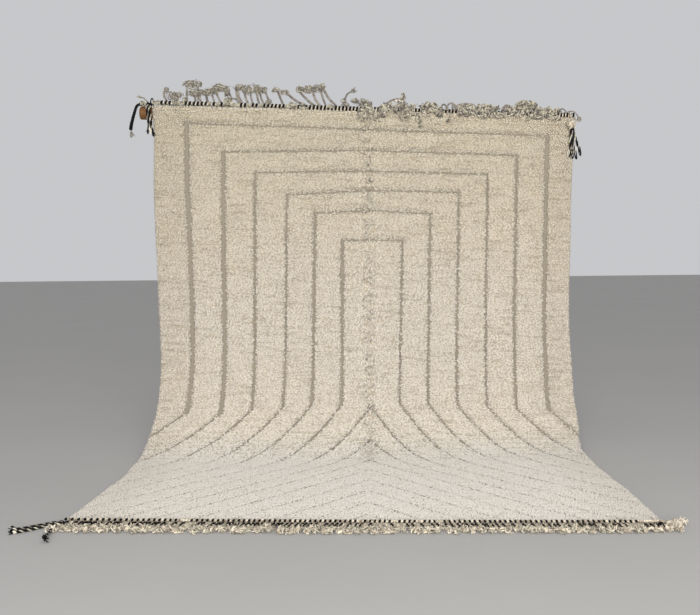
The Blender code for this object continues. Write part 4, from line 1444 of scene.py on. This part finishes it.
def front_fringe():
    cords = start_yarns("front_fringe_cords", 0)
    curls = start_yarns("front_fringe_curls", 0)
    for across in np.arange(*FRONT_FRINGE):
        root = beyond_front(across, *FRONT_ROOT)
        slant = math.radians(np.interp(across, *FRONT_SLANTS.T))
        slant += chance.uniform(-FRONT_FAN, FRONT_FAN)
        long = np.interp(across, *FRONT_LONG.T) + chance.uniform(-FRONT_UNEVEN, FRONT_UNEVEN)
        ahead = np.array((-math.sin(slant), -math.cos(slant), 0.0))
        foot = root * np.array((1.0, 1.0, 0.0))
        points = [root]
        for part, level in FRONT_LEVELS:
            points.append(foot + ahead * long * part + np.array((0, 0, level)))
        add_plied(cords, points, FRONT_CORD_THICK, FRONT_TWIST, (TAN, TAN), spacing=0.008)
        for part, tall in FRONT_CURLS:
            part += chance.uniform(-FRONT_CURL_JITTER, FRONT_CURL_JITTER)
            centre = foot + ahead * long * part + np.array((0, 0, FRONT_CURL_LEVEL))
            add_curls(curls, centre, (FRONT_CURL_WIDE, FRONT_CURL_WIDE, tall), FRONT_YARNS,
                      FRONT_CURL_FILL, floor_level=0.0, thick=FRONT_CURL_THICK)
        if chance.random() < BLACK_SHARE:
            add_black_end(cords, across)
    return finish_yarns([cords, curls], "fringe_wool", "front_fringe")


front_fringe_piece = front_fringe()

# %% [markdown]
# ## The corner tassels
#
# At each corner the weaver knotted the edging's ends into braids. A knot is a thread that winds
# over a small ball, over a short fat core. A braid is three threads plied together, black, grey
# and dusty, and it ends in a loop or a frayed tuft. Each tassel starts where its CAD solid does.

# %% Knots, tufts and loops
KNOT_STEPS = 64
KNOT_TURNS = 3
KNOT_TILT = 1.25
CORE_MARKS = np.linspace(-0.8, 0.8, 7)
CORE_TALL = 0.9
CORE_WIDE = 0.8
TUFT_MARKS = (0.35, 0.7, 1.0)
TUFT_FAN = 1.4
TUFT_TAPER = 0.5
BOW_SIDES = 0.8
BOW_END = 1.15


def add_knot(yarns, centre, radii, thick, colour):
    """A thread wound over a small ball, with a core that closes the gaps."""
    radii = np.asarray(radii, float)
    turn = np.linspace(0, math.tau, KNOT_STEPS)
    tilt = KNOT_TILT * np.sin((KNOT_TURNS + 1.0) * turn)
    level = np.cos(KNOT_TURNS * turn) * np.cos(tilt), np.sin(KNOT_TURNS * turn) * np.cos(tilt)
    ball = np.stack((*level, np.sin(tilt)), -1)
    add_thread(yarns, np.asarray(centre) + ball * (radii - thick / 2), thick / 2, colour)
    core = CORE_MARKS[:, None] * np.array((0, 0, radii[2] * CORE_TALL)) + centre
    add_thread(yarns, core, radii[:2].min() * CORE_WIDE * np.sqrt(1 - CORE_MARKS ** 2), colour)


def add_tuft(yarns, start, ahead, colour, number, thick, long, spread, floor_level=None):
    """A frayed end: short threads that fan out."""
    ahead = np.asarray(ahead, float) / np.linalg.norm(ahead)
    for _ in range(number):
        drift = chance.normal(0, spread, 3)
        points = [start]
        for part in TUFT_MARKS:
            points.append(start + ahead * long * part + drift * part ** TUFT_FAN)
        if floor_level is not None:
            for point in points[1:]:
                point[2] = max(point[2], floor_level + thick / 2)
        route, marks = evenly(points, 0.005)
        add_thread(yarns, route, thick / 2 * (1 - TUFT_TAPER * marks / marks[-1]), colour)


def add_loop(yarns, colour, thick, start, end, bulge):
    """A thread that leaves one point and comes back to another in a bow."""
    start, end, bulge = (np.asarray(part, float) for part in (start, end, bulge))
    bow = [start, start + bulge * BOW_SIDES, (start + end) / 2 + bulge * BOW_END,
           end + bulge * BOW_SIDES, end]
    route, _ = evenly(bow, 0.0035)
    add_thread(yarns, route, thick / 2, colour)


def add_bow(yarns, place, colour, thick, reach, bulge):
    """A loop that comes back just beside the place that it leaves."""
    add_loop(yarns, colour, thick, place, place + reach, bulge)


def steps_from(knot, steps):
    return [knot + np.array(step) for step in steps]


print("a core has", len(CORE_MARKS), "points, a knot", KNOT_STEPS)


# %% Tassel at the top left
CROWN = ROOT_ALONG
KNOT_RADIUS = 0.011
KNOT_SEAT = 0.0106
KNOT_THREAD = 0.005
BRAID_LEVEL = 0.012
BRAID_RISE = 0.25
LEFT_KNOT = -1.268
LEFT_BRAIDS = (
    # across, drift, how low it ends, thick, colours, start of the twist, side of its ends
    (-1.276, 0.004, 0.126, 0.0165, (BLACK, BLACK, GREY), 0.0, -0.008),
    (-1.263, 0.007, 0.140, 0.0175, (BLACK, DUSTY, BLACK), 1.0, 0.010),
)
LEFT_PITCH = 0.060
LEFT_BOWS = (
    # colour, thick, where it ends as a share of the braid's side, bulge with such a share first
    (BLACK, 0.0085, 0.5, (0.6, -0.002, -0.040)),
    (CREAM, 0.0050, -0.5, (-0.3, -0.005, -0.026)),
)
LEFT_TUFT = {"colour": BLACK, "number": 4, "thick": 0.005, "long": 0.040, "spread": 0.003}
LEFT_TUFT_UP = -0.02
KNOT_BOW = (BLACK, 0.0075, (0.014, 0, 0), (0.002, -0.002, 0.034))
GREY_TWIST = {"thick": 0.0085, "pitch": 0.022, "colours": (DARK, GREY)}
GREY_AHEAD = (-1.0, 0.05, 0.35)
GREY_TUFT = {"colour": DUSTY, "number": 12, "thick": 0.0055, "long": 0.032, "spread": 0.006}
GREY_STRAND = ((0, 0, 0), (-0.022, 0.004, 0.022), (-0.044, 0.005, 0.044))


def hanging(across, drift, low):
    """Points over the pole's crown and down in front of the pile."""
    part = np.linspace(0, 1, 7)
    level = BRAID_LEVEL + RUG_THICK * ramp(0.0, BRAID_RISE, part)
    return drape(across + drift * part, CROWN + (low - CROWN) * part, level)


def top_left_tassel():
    yarns = start_yarns("top_left_tassel")
    knot = drape(LEFT_KNOT, CROWN, KNOT_SEAT)
    add_knot(yarns, knot, (KNOT_RADIUS,) * 3, KNOT_THREAD, BLACK)
    ends = []
    for across, drift, low, thick, colours, phase, side in LEFT_BRAIDS:
        route = hanging(across, drift, low)
        add_plied(yarns, route, thick, LEFT_PITCH, colours, phase=phase)
        ends.append((route[-1], side))
    add_bow(yarns, knot, *KNOT_BOW)
    for end, side in ends:
        for colour, thick, share, (aside, back, up) in LEFT_BOWS:
            add_bow(yarns, end, colour, thick, (side * share, 0, 0), (side * aside, back, up))
        add_tuft(yarns, end, (side, 0.0, LEFT_TUFT_UP), **LEFT_TUFT)
    grey = steps_from(knot, GREY_STRAND)
    add_plied(yarns, grey, **GREY_TWIST)
    add_tuft(yarns, grey[-1], GREY_AHEAD, **GREY_TUFT)
    return finish_yarns([yarns], "dark_braid", "tassel_top_left")


tassels = [top_left_tassel()]

# %% Braid over the pole's end
POLE_KNOT = -1.306
POLE_CURLS_ASIDE = (-0.006, -0.010, 0.004)
POLE_CURLS = (0.022, 0.014, 0.016)
POLE_BRAID = ((0, 0, 0), (-0.020, -0.004, 0.004), (-0.044, -0.004, -0.006),
              (-0.060, -0.004, -0.045), (-0.078, -0.004, -0.105), (-0.086, -0.004, -0.146))
POLE_TWIST = {"thick": 0.0165, "pitch": 0.040, "colours": (BLACK,) * 3, "taper": 1.4}
POLE_AHEAD = (0.10, 0.0, -1.0)
POLE_TUFT = {"colour": GREY, "number": 16, "thick": 0.004, "long": 0.044, "spread": 0.007}


def pole_end_braid():
    yarns = start_yarns("pole_end_braid")
    knot = drape(POLE_KNOT, CROWN, KNOT_SEAT)
    add_knot(yarns, knot, (KNOT_RADIUS,) * 3, KNOT_THREAD, GREY)
    add_curls(yarns, knot + POLE_CURLS_ASIDE, POLE_CURLS, (DUSTY, DUSTY, DARK))
    route = steps_from(knot, POLE_BRAID)
    add_plied(yarns, route, **POLE_TWIST)
    add_tuft(yarns, route[-1], POLE_AHEAD, **POLE_TUFT)
    return finish_yarns([yarns], "dark_braid", "tassel_pole_end")


tassels.append(pole_end_braid())

# %% Tassel at the top right
RIGHT_ACROSS = 1.220
RIGHT_KNOT = (RIGHT_ACROSS, 0.052, RUG_THICK + 0.0175)
RIGHT_RADII = (0.024, 0.0165, 0.028)
RIGHT_CURLS_ASIDE = (0.004, -0.002, 0.002)
RIGHT_CURLS = (0.026, 0.016, 0.032)
RIGHT_THREAD = 0.010
RIGHT_FILL = 0.8
RIGHT_TWIST = {"thick": 0.0150, "pitch": 0.075}
RIGHT_BOWS = (
    # colour, thick, reach, bulge
    (BLACK, 0.0070, (0.010, 0, 0), (0.008, -0.001, -0.046)),
    (CREAM, 0.0040, (-0.009, 0, 0), (-0.010, 0.0, -0.036)),
)
RIGHT_TUFT = {"colour": BLACK, "number": 5, "thick": 0.0055, "long": 0.044, "spread": 0.003}
RIGHT_TUFT_UP = -0.1
RIGHT_BRAIDS = (
    # how far aside, long, colours
    (-0.004, 0.125, (BLACK, DUSTY, BLACK)),
    (0.017, 0.130, (BLACK, BLACK, GREY)),
    (0.040, 0.110, (BLACK, DUSTY, BLACK)),
)
RIGHT_MARKS = (0, 0.3, 0.7, 1.0)
RIGHT_START = 0.2
RIGHT_PROUD = 0.002
RIGHT_BELOW = 0.020
RIGHT_TIE = (
    # along, height
    (0.030, 0.034), (0.006, 0.034), (-0.010, 0.028), (-0.0146, 0.019),
)
TIE_TWIST = {"thick": 0.0090, "pitch": 0.022, "colours": (CREAM, GREY)}


def top_right_tassel():
    yarns = start_yarns("top_right_tassel")
    knot = drape(*RIGHT_KNOT)
    add_knot(yarns, knot, RIGHT_RADII, RIGHT_THREAD, TAN)
    add_curls(yarns, knot + RIGHT_CURLS_ASIDE, RIGHT_CURLS, (TAN, TAN, CREAM), RIGHT_FILL)
    for aside, long, colours in RIGHT_BRAIDS:
        route = [knot + (aside * (RIGHT_START + (1 - RIGHT_START) * part), -RIGHT_PROUD,
                         -RIGHT_BELOW - long * part) for part in RIGHT_MARKS]
        add_plied(yarns, route, colours=colours, **RIGHT_TWIST)
        for bow in RIGHT_BOWS:
            add_bow(yarns, route[-1], *bow)
        add_tuft(yarns, route[-1], (aside, 0.0, RIGHT_TUFT_UP), **RIGHT_TUFT)
    tie = [knot] + [drape(RIGHT_ACROSS, along, height) for along, height in RIGHT_TIE]
    add_plied(yarns, tie, **TIE_TWIST)
    return finish_yarns([yarns], "fringe_wool", "tassel_top_right")


tassels.append(top_right_tassel())

# %% Tassel at the front left
FRONT_LEFT = (-1.2804, -1.558)
FRONT_LEFT_SEAT = 0.0080
FRONT_LEFT_WIDE = 0.013
FRONT_LEFT_TWIST = {"thick": 0.0135, "pitch": 0.030}
END_KNOT_UP = (0, 0, 0.003)
END_KNOT = (0.010, 0.010, 0.0085)
END_AHEAD = (-1.0, -0.35, 0.05)
END_TUFT = {"colour": BLACK, "number": 8, "thick": 0.005, "long": 0.020, "spread": 0.006}
END_LOOP_THICK = 0.0060
END_LOOP = ((0.010, 0, 0.004), (0.006, 0.004, 0.004), (-0.018, -0.006, 0.010))
SHORT_KNOT = (0.011, 0.011, 0.0090)
SHORT_AHEAD = (0.5, -0.9, 0.10)
SHORT_TUFT = {"colour": BLACK, "number": 12, "thick": 0.006, "long": 0.034, "spread": 0.009}
SHORT_LOOP_THICK = 0.005
SHORT_LOOP_BULGE = (-0.016, 0.004, 0.010)
FRONT_LEFT_BRAIDS = (
    # level, colours, steps from the knot
    (0.0070, (BLACK, GREY, BLACK),
     (-0.004, 0.004), (-0.032, -0.004), (-0.082, -0.040), (-0.132, -0.076), (-0.162, -0.092)),
    (0.0070, (DUSTY, BLACK, BLACK),
     (-0.002, -0.002), (-0.030, -0.028), (-0.072, -0.072), (-0.118, -0.112), (-0.146, -0.130)),
    (0.0130, (BLACK, GREY, BLACK),
     (0.004, -0.005), (0.006, -0.032), (0.000, -0.087), (0.003, -0.155), (0.012, -0.214)),
)


def on_floor(knot, level, steps):
    """A route on the floor, by its steps from a knot."""
    foot = np.array((*knot, level)) + SHIFT
    return [foot + np.array((*step, 0.0)) for step in steps]


def front_left_tassel():
    yarns = start_yarns("front_left_tassel")
    seat = np.array((*FRONT_LEFT, FRONT_LEFT_SEAT)) + SHIFT
    add_knot(yarns, seat, (FRONT_LEFT_WIDE, FRONT_LEFT_WIDE, FRONT_LEFT_SEAT), KNOT_THREAD, BLACK)
    routes = []
    for level, colours, *steps in FRONT_LEFT_BRAIDS:
        routes.append(on_floor(FRONT_LEFT, level, steps))
        add_plied(yarns, routes[-1], colours=colours, **FRONT_LEFT_TWIST)
    *long_ones, short = routes
    for route in long_ones:
        end = route[-1]
        add_knot(yarns, end + END_KNOT_UP, END_KNOT, KNOT_THREAD, CREAM)
        add_tuft(yarns, end, END_AHEAD, floor_level=0.0, **END_TUFT)
        leave, back, bulge = END_LOOP
        add_loop(yarns, BLACK, END_LOOP_THICK, end + leave, end + back, bulge)
    add_knot(yarns, short[-1] + END_KNOT_UP, SHORT_KNOT, KNOT_THREAD, BLACK)
    add_tuft(yarns, short[-1], SHORT_AHEAD, floor_level=0.0, **SHORT_TUFT)
    add_loop(yarns, CREAM, SHORT_LOOP_THICK, short[2], short[3], SHORT_LOOP_BULGE)
    return finish_yarns([yarns], "dark_braid", "tassel_front_left")


tassels.append(front_left_tassel())

# %% Tassel at the front right
FRONT_RIGHT = (1.2823, -1.583)
FRONT_RIGHT_SEAT = 0.0125
FRONT_RIGHT_LOCKS = (
    # level, thick, pitch, steps from the knot
    (0.0120, 0.0220, 0.040, (0.007, 0.005), (0.028, 0.002), (0.046, 0.006), (0.060, 0.014)),
    (0.0110, 0.0200, 0.036, (0.004, -0.010), (0.012, -0.028), (0.018, -0.052), (0.020, -0.068)),
)
FRONT_RIGHT_TUFTS = (
    # ahead, number, long
    ((1.0, 0.35, 0.1), 16, 0.016),
    ((0.1, -1.0, 0.1), 12, 0.020),
)
FRONT_RIGHT_KNOT = (0.019, 0.024, FRONT_RIGHT_SEAT)
FRONT_RIGHT_THREAD = 0.008
FRONT_RIGHT_CURLS_UP = (0, 0, 0.006)
FRONT_RIGHT_CURLS = (0.016, 0.016, 0.011)
DARK_KNOT = (0.015, 0.011, 0.012)
DARK_THREAD = 0.006
DARK_BOW = (CREAM, 0.005, (0.012, 0, 0), (0.004, -0.016, 0.004))
FRONT_RIGHT_DARK = (-0.045, -0.034, 0.004)


def front_right_tassel():
    yarns = start_yarns("front_right_tassel")
    middle = np.array((*FRONT_RIGHT, FRONT_RIGHT_SEAT)) + SHIFT
    add_knot(yarns, middle, FRONT_RIGHT_KNOT, FRONT_RIGHT_THREAD, TAN)
    routes = []
    for level, thick, pitch, *steps in FRONT_RIGHT_LOCKS:
        routes.append(on_floor(FRONT_RIGHT, level, steps))
        add_plied(yarns, routes[-1], thick, pitch, (TAN, CREAM, TAN), spacing=0.005)
    broad, near = routes
    for route, (ahead, number, long) in zip(routes, FRONT_RIGHT_TUFTS):
        add_tuft(yarns, route[-1], ahead, TAN, number, thick=0.0055, long=long, spread=0.008,
                 floor_level=0.0)
    for centre in (*broad[1:], *near[2:]):
        add_curls(yarns, centre + FRONT_RIGHT_CURLS_UP, FRONT_RIGHT_CURLS, (TAN, TAN, CREAM),
                  floor_level=0.0)
    dark = middle + np.array(FRONT_RIGHT_DARK)
    add_knot(yarns, dark, DARK_KNOT, DARK_THREAD, BLACK)
    add_bow(yarns, dark, *DARK_BOW)
    return finish_yarns([yarns], "fringe_wool", "tassel_front_right")


tassels.append(front_right_tassel())

# %% [markdown]
# ## The pole
#
# The pole is a plain turned rod of oiled wood, and its CAD solid already has the right shape.
# It only needs a better finish: grain that runs along it, and rings on its sawn end. A Mapping
# node moves the pattern onto the pole's own axis, which drops a little to the right.

# %% Wood of the pole
WOOD_LIGHT = linear(138, 96, 52)
WOOD_DARK = linear(74, 44, 18)
OIL = {"Coat Weight": 0.25, "Coat Roughness": 0.35}
RINGS = {"Scale": 60.0, "Distortion": 1.6, "Detail": 3.0, "Detail Scale": 1.5}
GRAIN_STRETCH = (3.0, 60.0, 60.0)
GRAIN = {"Scale": 4.0, "Detail": 6.0}
GRAIN_SHARE = 0.6


def wood_of_pole():
    material, tree, shader = start_material("pole_wood", roughness=0.55)
    for socket, value in OIL.items():
        shader.inputs[socket].default_value = value
    place = put(tree, "TexCoord").outputs["Object"]
    axis_z = POLE_AXIS_Z - POLE_SLOPE * SHIFT[0]
    on_axis = put(tree, "Mapping", {"vector_type": "TEXTURE"}, Vector=place,
                  Location=(0.0, AXIS_Y + SHIFT[1], axis_z),
                  Rotation=(0.0, -math.atan(POLE_SLOPE), 0.0)).outputs["Vector"]
    rings = put(tree, "TexWave", {"wave_type": "RINGS", "rings_direction": "X"}, Vector=on_axis)
    for socket, value in RINGS.items():
        rings.inputs[socket].default_value = value
    stretched = put(tree, "Mapping", Vector=on_axis, Scale=GRAIN_STRETCH).outputs["Vector"]
    grain = put(tree, "TexNoise", Vector=stretched, **GRAIN)
    both = put(tree, "MixRGB", Fac=GRAIN_SHARE, Color1=rings.outputs["Color"],
               Color2=grain.outputs["Color"])
    bright = put(tree, "RGBToBW", Color=both.outputs["Color"])
    colour = put(tree, "MixRGB", Fac=bright.outputs["Val"], Color1=WOOD_DARK, Color2=WOOD_LIGHT)
    wire(tree, shader, colour.outputs["Color"], bright.outputs["Val"], strength=0.3, distance=0.0008)
    return material


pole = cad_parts["pole"]
pole.data.materials.clear()
pole.data.materials.append(wood_of_pole())
print(pole.name, "has", pole.data.materials[0].name)
